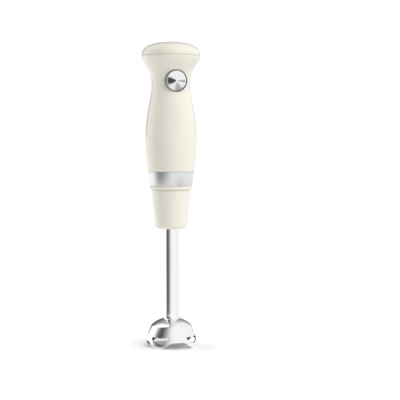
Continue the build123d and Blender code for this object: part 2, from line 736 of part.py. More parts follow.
# ======================================================================== parts
lower_bracket, upper_bracket = brackets()
housing_front, housing_rear, housing_screws = housing_halves()
stator_core, field_coils = stator()
armature_core, armature_windings, commutator, cooling_fan = armature()
brush_holders, carbon_brushes, brush_springs = brushes()

parts = {
    "housing_front": housing_front,
    "housing_rear": housing_rear,
    "housing_screws": housing_screws,
    "top_cap": top_cap(),
    "trim_band": trim_band(),
    "nose_ring": nose_ring(),
    "lock_spigot": lock_spigot(),
    "cord_grommet": cord_grommet(),
    "lower_bracket": lower_bracket,
    "upper_bracket": upper_bracket,
    "motor_screws": motor_screws(),
    "stator_core": stator_core,
    "field_coils": field_coils,
    "lower_bearing": ring(SHAFT_R + RUNNING, BEARING_R, *LOWER_BEARING_Z),
    "upper_bearing": ring(SHAFT_R + RUNNING, BEARING_R, *UPPER_BEARING_Z),
    "brush_holders": brush_holders,
    "carbon_brushes": carbon_brushes,
    "brush_springs": brush_springs,
    "motor_shaft": disc(SHAFT_R, COUPLING_FLOOR_Z, SHAFT_TOP_Z),
    "armature_core": armature_core,
    "armature_windings": armature_windings,
    "commutator": commutator,
    "cooling_fan": cooling_fan,
    "drive_coupling": drive_coupling(),
    "leg_collar": leg_collar(),
    "collar_insert": collar_insert(),
    "leg_tube": leg_tube(),
    "bell_guard": bell_guard(),
    "bearing_housing": bearing_housing(),
    "shaft_coupling": shaft_coupling(),
}
parts.update(button_parts())
parts.update(bushes())
parts.update(blade_pieces())

os.makedirs("parts", exist_ok=True)
for name, shape in parts.items():
    export_step(shape, f"parts/{name}.step")
print(len(parts), "parts written")
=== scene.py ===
"""Immersion blender: the shown pieces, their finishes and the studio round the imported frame.

Lengths are in metres. Z runs up the drive axis, the power button faces -Y, and the origin is on the
surface that the bell guard's feet stand on.
"""

import json
import logging
import math
from dataclasses import dataclass
from enum import Enum
from typing import Any, Callable, Sequence

import bpy
import numpy as np
from mathutils import Matrix, Vector

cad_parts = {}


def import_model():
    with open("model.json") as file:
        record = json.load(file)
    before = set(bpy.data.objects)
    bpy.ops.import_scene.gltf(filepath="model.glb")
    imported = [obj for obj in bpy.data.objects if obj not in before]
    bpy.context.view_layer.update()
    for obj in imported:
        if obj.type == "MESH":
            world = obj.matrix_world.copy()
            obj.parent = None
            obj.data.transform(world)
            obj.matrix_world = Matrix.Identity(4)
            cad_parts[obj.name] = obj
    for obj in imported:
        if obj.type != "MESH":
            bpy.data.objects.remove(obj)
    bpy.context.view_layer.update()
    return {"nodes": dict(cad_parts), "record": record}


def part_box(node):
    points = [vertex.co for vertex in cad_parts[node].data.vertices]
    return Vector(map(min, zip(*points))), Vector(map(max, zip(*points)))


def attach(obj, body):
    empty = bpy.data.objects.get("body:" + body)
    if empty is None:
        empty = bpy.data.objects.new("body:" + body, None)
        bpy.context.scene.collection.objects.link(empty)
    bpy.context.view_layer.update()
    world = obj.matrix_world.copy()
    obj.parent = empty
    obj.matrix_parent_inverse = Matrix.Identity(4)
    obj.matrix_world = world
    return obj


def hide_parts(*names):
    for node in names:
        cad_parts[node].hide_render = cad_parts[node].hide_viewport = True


LOG = logging.getLogger("immersion_blender")
MM = 0.001
SEGMENTS = 128              # facets round a large turned piece
SMALL_SEGMENTS = 64         # facets round a small one
SORT_FROM = (0.71, 0.37, 0.53)
MERGE_WITHIN = 5e-6         # points closer than this are one
ON_AXIS = 1e-7              # radii smaller than this are zero

DRIFT_MM = 45.0             # how broad the slow drift of a finish is

Point = tuple[float, float]
Piece = bpy.types.Object
Tree = bpy.types.NodeTree
Socket = bpy.types.NodeSocket


class Body(Enum):
    """The rigid bodies that the new pieces ride on."""

    HANDLE = "handle"
    BUTTON = "button"
    LEG = "leg"
    BLADE_SHAFT = "blade_shaft"


# ---------------------------------------------------------------- mesh work


def deselect_all() -> None:
    """Leave nothing selected, so that the next operator acts on its own object alone."""
    if bpy.context.object and bpy.context.object.mode != "OBJECT":
        bpy.ops.object.mode_set(mode="OBJECT")
    bpy.ops.object.select_all(action="DESELECT")


def make_active(piece: Piece) -> None:
    """Select one object and make it the active one."""
    deselect_all()
    piece.select_set(True)
    bpy.context.view_layer.objects.active = piece


def edit_all(piece: Piece) -> None:
    """Go into edit mode on one mesh, with all of it selected."""
    make_active(piece)
    bpy.ops.object.mode_set(mode="EDIT")
    bpy.ops.mesh.select_all(action="SELECT")


def join(piece: Piece, others: Sequence[Piece]) -> None:
    """Join other pieces into one, which keeps its name."""
    make_active(piece)
    for other in others:
        other.select_set(True)
    bpy.ops.object.join()


def select_where(piece: Piece, test: Callable[[Vector], bool]) -> int:
    """Select the vertices of a mesh that pass a test, from within edit mode.

    Args:
        piece: The object being edited.
        test: Takes a vertex's place and says whether to select it.

    Returns:
        How many vertices were selected.
    """
    bpy.ops.mesh.select_mode(type="VERT")
    bpy.ops.mesh.select_all(action="DESELECT")
    bpy.ops.object.mode_set(mode="OBJECT")
    count = 0
    for vertex in piece.data.vertices:
        vertex.select = test(vertex.co)
        count += vertex.select
    bpy.ops.object.mode_set(mode="EDIT")
    return count


def close_and_smooth(piece: Piece, angle: float = 32.0) -> None:
    """Merge doubles, point every face outwards and shade smooth across shallow edges."""
    edit_all(piece)
    bpy.ops.mesh.remove_doubles(threshold=MERGE_WITHIN)
    bpy.ops.mesh.normals_make_consistent(inside=False)
    bpy.ops.object.mode_set(mode="OBJECT")
    bpy.ops.object.shade_smooth_by_angle(angle=math.radians(angle))


def fill_pinholes(piece: Piece) -> None:
    """Fill the few tiny gaps that a bevel leaves where many short edges meet."""
    edit_all(piece)
    bpy.ops.mesh.fill_holes(sides=0)
    bpy.ops.object.mode_set(mode="OBJECT")


def put_in_order(piece: Piece) -> None:
    """Number a mesh's points, edges and faces by how far they are from one odd spot.

    A cut numbers them differently in each run, and what a bevel and a merge do depends on it.
    """
    cursor = bpy.context.scene.cursor
    cursor.location = SORT_FROM
    edit_all(piece)
    bpy.ops.mesh.sort_elements(type="CURSOR_DISTANCE", elements={"VERT", "EDGE", "FACE"})
    bpy.ops.object.mode_set(mode="OBJECT")
    cursor.location = (0, 0, 0)


def open_points(piece: Piece) -> int:
    """Count the vertices where a mesh isn't closed."""
    make_active(piece)
    bpy.ops.object.mode_set(mode="EDIT")
    bpy.ops.mesh.select_mode(type="VERT")
    bpy.ops.mesh.select_all(action="DESELECT")
    bpy.ops.mesh.select_non_manifold()
    bpy.ops.object.mode_set(mode="OBJECT")
    return sum(vertex.select for vertex in piece.data.vertices)


def apply_modifier(piece: Piece, kind: str, **settings: Any) -> None:
    """Add a modifier, set it up and apply it.

    Args:
        piece: The object to change.
        kind: Blender's name for the modifier's type.
        **settings: Values for the modifier's own properties.
    """
    make_active(piece)
    modifier = piece.modifiers.new(kind.title(), kind)
    for name, value in settings.items():
        setattr(modifier, name, value)
    bpy.ops.object.modifier_apply(modifier=modifier.name)


def turned(name: str, outline: Sequence[Point], segments: int = SEGMENTS) -> Piece:
    """Turn a closed outline about Z, as on a lathe.

    A circle is added at the first point, then extruded, resized and moved to each next one.

    Args:
        name: The new object's name.
        outline: Points of (radius, height) in order round the section. A section that reaches
            the axis starts and ends there; any other is closed back to its first point.
        segments: How many facets go round.

    Returns:
        The turned piece, closed and smooth.
    """
    on_axis = outline[0][0] < ON_AXIS
    ring = list(outline[1:-1]) if on_axis else list(outline)
    deselect_all()
    radius, height = ring[0]
    bpy.ops.mesh.primitive_circle_add(vertices=segments, radius=radius, location=(0, 0, height))
    piece = bpy.context.object
    piece.name = name
    piece.data.name = name
    bpy.ops.object.transform_apply(location=True, rotation=False, scale=False)
    edit_all(piece)
    if on_axis:
        close_to_axis(outline[0][1] - height)
        select_where(piece, lambda co: Vector((co.x, co.y)).length > radius * 0.5)
    path = ring[1:] + ([] if on_axis else [ring[0]])
    for next_radius, next_height in path:
        bpy.ops.mesh.extrude_region_move(
            TRANSFORM_OT_translate={"value": (0, 0, next_height - height)}
        )
        scale = next_radius / radius
        if abs(scale - 1) > 1e-9:
            bpy.ops.transform.resize(value=(scale, scale, 1), center_override=(0, 0, next_height))
        radius, height = next_radius, next_height
    if on_axis:
        close_to_axis(outline[-1][1] - height)
    bpy.ops.object.mode_set(mode="OBJECT")
    close_and_smooth(piece)
    return piece


def close_to_axis(rise: float) -> None:
    """Extrude the selected circle once more and merge it to a point on the axis."""
    bpy.ops.mesh.extrude_region_move(TRANSFORM_OT_translate={"value": (0, 0, rise)})
    bpy.ops.mesh.merge(type="CENTER")


def cut_with(piece: Piece, tool: Piece, keep: bool = False) -> None:
    """Cut one closed piece with another, and throw the tool away.

    Args:
        piece: The piece that is cut.
        tool: The closed shape to cut with.
        keep: True keeps only what lies inside the tool.
    """
    operation = "INTERSECT" if keep else "DIFFERENCE"
    apply_modifier(piece, "BOOLEAN", object=tool, operation=operation, solver="EXACT")
    bpy.data.objects.remove(tool)


def quarter_turns() -> list[Matrix]:
    """The turns about Z that bring +X over each of the four feet."""
    return [Matrix.Rotation(math.pi / 4 + i * math.pi / 2, 4, "Z") for i in range(4)]


def drum(name: str, radius: float, depth: float, segments: int) -> Piece:
    """A plain closed drum about Z, for cutting with."""
    deselect_all()
    bpy.ops.mesh.primitive_cylinder_add(vertices=segments, radius=radius, depth=depth)
    piece = bpy.context.object
    piece.name = name
    return piece


def prism(name: str, outline: Sequence[Point], depth: float) -> Piece:
    """A closed outline in the YZ plane, extruded along X, for cutting with.

    Args:
        name: The tool's name.
        outline: Points of (across, up).
        depth: How far it reaches along +X.

    Returns:
        The tool.
    """
    deselect_all()
    bpy.ops.mesh.primitive_circle_add(vertices=len(outline), radius=1.0, fill_type="NGON")
    piece = bpy.context.object
    piece.name = name
    for vertex, (across, up) in zip(piece.data.vertices, outline):
        vertex.co = (0.0, across, up)
    edit_all(piece)
    bpy.ops.mesh.extrude_region_move(TRANSFORM_OT_translate={"value": (depth, 0, 0)})
    bpy.ops.mesh.select_all(action="SELECT")
    bpy.ops.mesh.normals_make_consistent(inside=False)
    bpy.ops.object.mode_set(mode="OBJECT")
    return piece


def place(piece: Piece, matrix: Matrix) -> Piece:
    """Move a piece to its place and leave its object at the origin, unturned."""
    make_active(piece)
    piece.matrix_world = matrix
    bpy.ops.object.transform_apply(location=True, rotation=True, scale=True)
    return piece


def tilted_frame(origin: Vector, out: Vector) -> Matrix:
    """A frame at origin whose Z points along out and whose X stays level."""
    z = out.normalized()
    x = Vector((0, 0, 1)).cross(z)
    x = x.normalized() if x.length > 1e-9 else Vector((1, 0, 0))
    y = z.cross(x)
    return Matrix.Translation(origin) @ Matrix((x, y, z)).transposed().to_4x4()


# the button faces out and a little down, and the inlet out at the back and down
BUTTON_TILT = math.radians(6)
BUTTON_FRAME = tilted_frame(
    Vector((0, -0.0266, 0.334)), Vector((0, -math.cos(BUTTON_TILT), -math.sin(BUTTON_TILT)))
)
INLET_TILT = math.radians(30)
INLET_FRAME = tilted_frame(
    Vector((0, 0.031, 0.355)), Vector((0, math.cos(INLET_TILT), -math.sin(INLET_TILT)))
)


# ---------------------------------------------------------------- outlines


def curve_through(points: Sequence[Point], start: Point, end: Point, steps: int) -> list[Point]:
    """Smooth curve through points, with the direction given at each end.

    A cubic spline on chord length, as a draughtsman's spline would lie.

    Args:
        points: The points to pass through, as (radius, height).
        start: Direction at the first point.
        end: Direction at the last point.
        steps: How many straight pieces the curve is drawn with.

    Returns:
        The points of the curve, ends included.
    """
    p = np.array(points, float)
    chord = np.linalg.norm(np.diff(p, axis=0), axis=1)
    t = np.concatenate([[0.0], np.cumsum(chord)])
    n = len(p)
    system = np.zeros((n, n))
    right = np.zeros((n, 2))
    system[0, 0] = system[-1, -1] = 1
    right[0] = np.array(start) / np.linalg.norm(start)
    right[-1] = np.array(end) / np.linalg.norm(end)
    for i in range(1, n - 1):
        before, after = chord[i - 1], chord[i]
        system[i, i - 1], system[i, i], system[i, i + 1] = after, 2 * (before + after), before
        rise = after * (p[i] - p[i - 1]) / before + before * (p[i + 1] - p[i]) / after
        right[i] = 3 * rise
    slope = np.linalg.solve(system, right)
    result = []
    for at in np.linspace(0, t[-1], steps + 1):
        i = min(int(np.searchsorted(t, at, side="right")) - 1, n - 2)
        h = chord[i]
        s = (at - t[i]) / h
        a = (1 + 2 * s) * (1 - s) ** 2 * p[i] + s**2 * (3 - 2 * s) * p[i + 1]
        b = s * (1 - s) ** 2 * h * slope[i] + s**2 * (s - 1) * h * slope[i + 1]
        result.append((float((a + b)[0]), float((a + b)[1])))
    return result


def arc(start: Point, through: Point, end: Point, steps: int = 8) -> list[Point]:
    """Arc of a circle through three points, ends included."""
    (ax, ay), (bx, by), (cx, cy) = start, through, end
    d = 2 * (ax * (by - cy) + bx * (cy - ay) + cx * (ay - by))
    a2, b2, c2 = ax * ax + ay * ay, bx * bx + by * by, cx * cx + cy * cy
    ox = (a2 * (by - cy) + b2 * (cy - ay) + c2 * (ay - by)) / d
    oy = (a2 * (cx - bx) + b2 * (ax - cx) + c2 * (bx - ax)) / d
    radius = math.hypot(ax - ox, ay - oy)
    first, mid, last = (math.atan2(y - oy, x - ox) for x, y in (start, through, end))
    turn = (last - first) % math.tau
    if (mid - first) % math.tau > turn:
        turn -= math.tau
    angles = [first + turn * i / steps for i in range(steps + 1)]
    return [(ox + radius * math.cos(t), oy + radius * math.sin(t)) for t in angles]


def rounded(points: Sequence[Point], radii: Sequence[float], steps: int = 4) -> list[Point]:
    """Closed outline with its corners rounded.

    Args:
        points: The corners in order.
        radii: The rounding of each corner, 0 for a sharp one.
        steps: How many straight pieces draw a rounding.

    Returns:
        The points of the rounded outline.
    """
    result: list[Point] = []
    count = len(points)
    for i, (corner, radius) in enumerate(zip(points, radii)):
        if radius <= 0:
            result.append(corner)
            continue
        here = Vector(corner)
        back = (Vector(points[i - 1]) - here).normalized()
        ahead = (Vector(points[(i + 1) % count]) - here).normalized()
        half = back.angle(ahead) / 2
        reach = radius / math.tan(half)
        middle = here + (back + ahead).normalized() * radius / math.sin(half)
        first, last = here + back * reach, here + ahead * reach
        near = middle + (here - middle).normalized() * radius
        result.extend(arc(tuple(first), tuple(near), tuple(last), steps))
    return result


# ---------------------------------------------------------------- finishes


def linear(colour: str) -> tuple[float, float, float, float]:
    """Turn an sRGB hex colour into the linear values that shaders take."""
    channels = [int(colour[i : i + 2], 16) / 255 for i in (1, 3, 5)]
    line = [c / 12.92 if c <= 0.04045 else ((c + 0.055) / 1.055) ** 2.4 for c in channels]
    return (line[0], line[1], line[2], 1.0)


def add_node(
    tree: Tree, kind: str, inputs: dict[str | int, Any] | None = None, **settings: Any
) -> bpy.types.Node:
    """Add one node, set its properties, and fill or link its inputs.

    Args:
        tree: The node tree to add to.
        kind: Blender's name for the node's type.
        inputs: Input name or number to a value, or to an output socket to link from.
        **settings: The node's own properties.

    Returns:
        The new node.
    """
    node = tree.nodes.new(kind)
    for name, value in settings.items():
        setattr(node, name, value)
    for name, value in (inputs or {}).items():
        if isinstance(value, Socket):
            tree.links.new(value, node.inputs[name])
        else:
            node.inputs[name].default_value = value
    return node


def new_tree(owner: bpy.types.Material | bpy.types.World) -> Tree:
    """Turn on a material's or a world's nodes, and start from none."""
    owner.use_nodes = True
    owner.node_tree.nodes.clear()
    return owner.node_tree


def mix(tree: Tree, factor: Any, first: Any, second: Any) -> Socket:
    """Mix two colours, each a value or a socket, and return the mixed one."""
    inputs = {"Factor": factor, 6: first, 7: second}
    return add_node(tree, "ShaderNodeMix", inputs, data_type="RGBA").outputs[2]


def map_range(tree: Tree, value: Socket, span: Point, to: Point) -> Socket:
    """Map a value from one span to another, held at the ends, and return the result."""
    inputs = {0: value, 1: span[0], 2: span[1], 3: to[0], 4: to[1]}
    return add_node(tree, "ShaderNodeMapRange", inputs).outputs[0]


def maths(tree: Tree, operation: str, first: Any, second: Any) -> Socket:
    """Do one sum on two values or sockets, and return the result."""
    return add_node(tree, "ShaderNodeMath", {0: first, 1: second}, operation=operation).outputs[0]


def per_mm(size_mm: float) -> float:
    """Texture scale at which one feature is so many millimetres across."""
    return 1.0 / (size_mm * MM)


@dataclass(frozen=True)
class Finish:
    """A real material and how its surface was made.

    Attributes:
        title: The material's name.
        colour: Base colour, sRGB.
        second: The colour that the base drifts towards.
        roughness: Microscopic roughness at its smoothest.
        roughness_drift: How much rougher its dullest patches are.
        grain_mm: Size of the surface's grain or marks, in millimetres.
        stretch: How much longer than wide a mark is, along X, Y and Z.
        bump: Height of the grain, in millimetres.
        metallic: 1 for bare metal, 0 for anything else.
        ior: Refractive index; a metal keeps the default.
        coat: Weight of a clear varnish over the base.
        coat_roughness: Roughness of that varnish.
    """

    title: str
    colour: str
    second: str
    roughness: float
    roughness_drift: float = 0.05
    grain_mm: float = 1.0
    stretch: tuple[float, float, float] = (1.0, 1.0, 1.0)
    bump: float = 0.0
    metallic: float = 0.0
    ior: float = 1.5
    coat: float = 0.0
    coat_roughness: float = 0.05

    def build(self) -> bpy.types.Material:
        """Make the material's nodes.

        Returns:
            The new material.
        """
        material = bpy.data.materials.new(self.title)
        tree = new_tree(material)
        where = add_node(tree, "ShaderNodeTexCoord").outputs["Object"]
        squeeze = {"Vector": where, "Scale": [1 / s for s in self.stretch]}
        marks = add_node(tree, "ShaderNodeMapping", squeeze).outputs[0]
        colour, height = self.pattern(tree, where, marks)
        dullest = self.roughness + self.roughness_drift
        dull = map_range(tree, height, (0.0, 1.0), (self.roughness, dullest))
        inputs: dict[str | int, Any] = {
            "Base Color": colour, "Roughness": dull, "Metallic": self.metallic
        }
        if self.metallic == 0:
            inputs["IOR"] = self.ior
        if self.coat > 0:
            inputs["Coat Weight"] = self.coat
            inputs["Coat Roughness"] = self.coat_roughness
        if self.bump > 0:
            relief = {"Height": height, "Distance": self.bump * MM, "Strength": 1.0}
            inputs["Normal"] = add_node(tree, "ShaderNodeBump", relief).outputs[0]
        shader = add_node(tree, "ShaderNodeBsdfPrincipled", inputs)
        add_node(tree, "ShaderNodeOutputMaterial", {"Surface": shader.outputs[0]})
        return material

    def pattern(self, tree: Tree, where: Socket, marks: Socket) -> tuple[Socket, Socket]:
        """Colour and height of the surface: grain over a broad, slow drift.

        Args:
            tree: The node tree to add to.
            where: The place on the object.
            marks: The same place, squeezed along the grain.

        Returns:
            The colour's and the height's output sockets.
        """
        fine = {"Vector": marks, "Scale": per_mm(self.grain_mm), "Detail": 4.0, "Roughness": 0.55}
        broad = {"Vector": where, "Scale": per_mm(DRIFT_MM), "Detail": 2.0, "Roughness": 0.5}
        grain, drift = (add_node(tree, "ShaderNodeTexNoise", n).outputs[0] for n in (fine, broad))
        amount = maths(tree, "MULTIPLY", grain, drift)
        return mix(tree, amount, linear(self.colour), linear(self.second)), grain


@dataclass(frozen=True)
class Laminated(Finish):
    """Stacked sheets or wound turns: fine level lines.

    Attributes:
        sheet_mm: Height of one sheet or turn, in millimetres.
    """

    sheet_mm: float = 1.0

    def pattern(self, tree: Tree, where: Socket, marks: Socket) -> tuple[Socket, Socket]:
        """Bands one sheet high. Real sheets are 0.5 mm; they are drawn coarser, to show."""
        bands = {"Vector": where, "Scale": per_mm(self.sheet_mm) / math.tau, "Distortion": 0.0}
        lines = add_node(tree, "ShaderNodeTexWave", bands, bands_direction="Z").outputs["Fac"]
        return mix(tree, lines, linear(self.second), linear(self.colour)), lines


class Finishes:
    """Every finish on the blender, each made once."""

    def __init__(self) -> None:
        """Build all the materials."""
        # Injection-moulded ABS, high gloss: a deep even cream with soft, clear reflections.
        self.cream_abs = Finish(
            "moulded_gloss_abs_cream", "#EFEBDF", "#ECE7D9", 0.16, 0.05,
            grain_mm=1.6, bump=0.004, ior=1.52,
        ).build()
        # Rolled stainless band, satin brushed round it: level hairlines and a blurred sheen.
        self.satin_steel = Finish(
            "rolled_satin_stainless", "#E6E7E8", "#D8DADC", 0.32, 0.12,
            grain_mm=0.5, stretch=(40.0, 40.0, 1.0), bump=0.004, metallic=1.0,
        ).build()
        # Drawn stainless tube, mirror polished: lengthwise draw marks just break up the reflection.
        self.drawn_steel = Finish(
            "drawn_polished_stainless", "#F2F2F3", "#E6E7E8", 0.07, 0.07,
            grain_mm=0.6, stretch=(1.0, 1.0, 60.0), bump=0.001, metallic=1.0,
        ).build()
        # Pressed stainless bell, buffed: bright and clear, with faint wide swirls.
        self.buffed_steel = Finish(
            "pressed_buffed_stainless", "#F2F2F3", "#E6E7E8", 0.13, 0.05,
            grain_mm=7.0, bump=0.0, metallic=1.0,
        ).build()
        # The bell's inside, left as pressed: dull, and darker than the buffed outside; the darker
        # colour is painted shade, for the shade that falls inside the bell.
        self.shaded_inner_steel = Finish(
            "unpolished_stainless_painted_shade", "#6F7073", "#55565A", 0.38, 0.15,
            grain_mm=0.9, stretch=(1.0, 1.0, 4.0), bump=0.004, metallic=1.0,
        ).build()
        # Chrome over a turned drum, its colour darkened as painted shade and painted reflection: a
        # thin dark outline round the button.
        self.chrome = Finish(
            "chrome_plate_painted_dark", "#98989A", "#88888B", 0.12, 0.06,
            grain_mm=5.0, metallic=1.0,
        ).build()
        # Spun metal disc: marks run round its middle, so light gathers in wedges.
        self.spun_metal = Finish(
            "spun_polished_metal", "#EDEDED", "#E0E0E1", 0.1, 0.05,
            grain_mm=2.5, metallic=1.0,
        ).build()
        # Turned and ground steel: even grey with a soft shine.
        self.turned_steel = Finish(
            "turned_steel", "#B9BBBE", "#A2A5A9", 0.24, 0.14,
            grain_mm=0.4, stretch=(12.0, 12.0, 1.0), bump=0.003, metallic=1.0,
        ).build()
        # Ground blade steel: fine straight grinding marks.
        self.ground_steel = Finish(
            "ground_blade_steel", "#CDCFD2", "#B4B7BB", 0.18, 0.14,
            grain_mm=0.35, stretch=(1.0, 14.0, 14.0), bump=0.003, metallic=1.0,
        ).build()
        # Varnished electrical-steel sheets, stacked: dark grey with level lines.
        self.sheet_stack = Laminated(
            "varnished_sheet_steel_stack", "#6A6D72", "#3C3E42", 0.38, 0.2,
            bump=0.05, metallic=1.0, sheet_mm=1.0,
        ).build()
        # Enamelled copper wire: red-brown, glossy, with the ridges of its turns.
        self.enamelled_wire = Laminated(
            "enamelled_copper_wire", "#B5562B", "#6E2C14", 0.28, 0.12,
            bump=0.12, sheet_mm=0.7, coat=0.6,
        ).build()
        # Turned copper bars: bright pink-gold that dulls in patches.
        self.turned_copper = Finish(
            "turned_copper", "#D9946C", "#B8714B", 0.22, 0.16,
            grain_mm=0.4, stretch=(10.0, 10.0, 1.0), bump=0.003, metallic=1.0,
        ).build()
        # Pressed brass strip: warm yellow with a soft shine.
        self.pressed_brass = Finish(
            "pressed_brass", "#D8B468", "#BF9748", 0.26, 0.14,
            grain_mm=2.0, bump=0.002, metallic=1.0,
        ).build()
        # Pressed carbon: near black, dusty and dull.
        self.pressed_carbon = Finish(
            "pressed_carbon", "#26262A", "#17171A", 0.62, 0.2,
            grain_mm=0.5, bump=0.02, ior=1.6,
        ).build()
        # Glass-filled nylon: dark grey with a fine, slightly mottled skin.
        self.filled_nylon = Finish(
            "moulded_glass_filled_nylon", "#3A3B3E", "#2B2C2F", 0.42, 0.16,
            grain_mm=0.7, bump=0.012, ior=1.53,
        ).build()
        # Red switch plunger: plain moulded acetal.
        self.red_acetal = Finish(
            "moulded_red_acetal", "#A3261D", "#8F1E17", 0.35, 0.1,
            grain_mm=1.0, bump=0.004, ior=1.48,
        ).build()
        # Solder mask over glass-epoxy board: deep green, glossy over a woven base.
        self.masked_board = Finish(
            "masked_glass_epoxy_board", "#1F6B3A", "#15502A", 0.28, 0.14,
            grain_mm=0.8, bump=0.01, ior=1.55, coat=0.4,
        ).build()
        # Cast epoxy capacitor case: mustard yellow, semi-gloss.
        self.cast_epoxy = Finish(
            "cast_epoxy_case", "#D9B23A", "#C69F2E", 0.34, 0.12,
            grain_mm=1.2, bump=0.006, ior=1.55,
        ).build()
        # Moulded rubber: dark and matt, with a faint bloom.
        self.moulded_rubber = Finish(
            "moulded_rubber", "#2C2B2A", "#3A3938", 0.6, 0.18,
            grain_mm=0.9, bump=0.015, ior=1.52,
        ).build()
        # Oil-filled sintered bronze: brown-gold and finely pitted.
        self.sintered_bronze = Finish(
            "sintered_bronze", "#A57C45", "#7E5B2F", 0.42, 0.2,
            grain_mm=0.4, bump=0.02, metallic=1.0,
        ).build()


def dress(piece: Piece, material: bpy.types.Material) -> None:
    """Give a piece one material over its whole surface."""
    piece.data.materials.clear()
    piece.data.materials.append(material)
    for face in piece.data.polygons:
        face.material_index = 0


def fit(piece: Piece, material: bpy.types.Material, body: Body, node: str) -> None:
    """Dress a finished piece, make it ride, and hide the CAD node that it stands for.

    Args:
        piece: The piece, in its place.
        material: Its finish.
        body: The body that it rides on.
        node: The CAD node that it replaces.
    """
    dress(piece, material)
    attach(piece, body.value)
    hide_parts(node)
    faces, loose = len(piece.data.polygons), open_points(piece)
    LOG.info("%s: %d faces on %s, %d open", piece.name, faces, body.value, loose)


# ---------------------------------------------------------------- handle


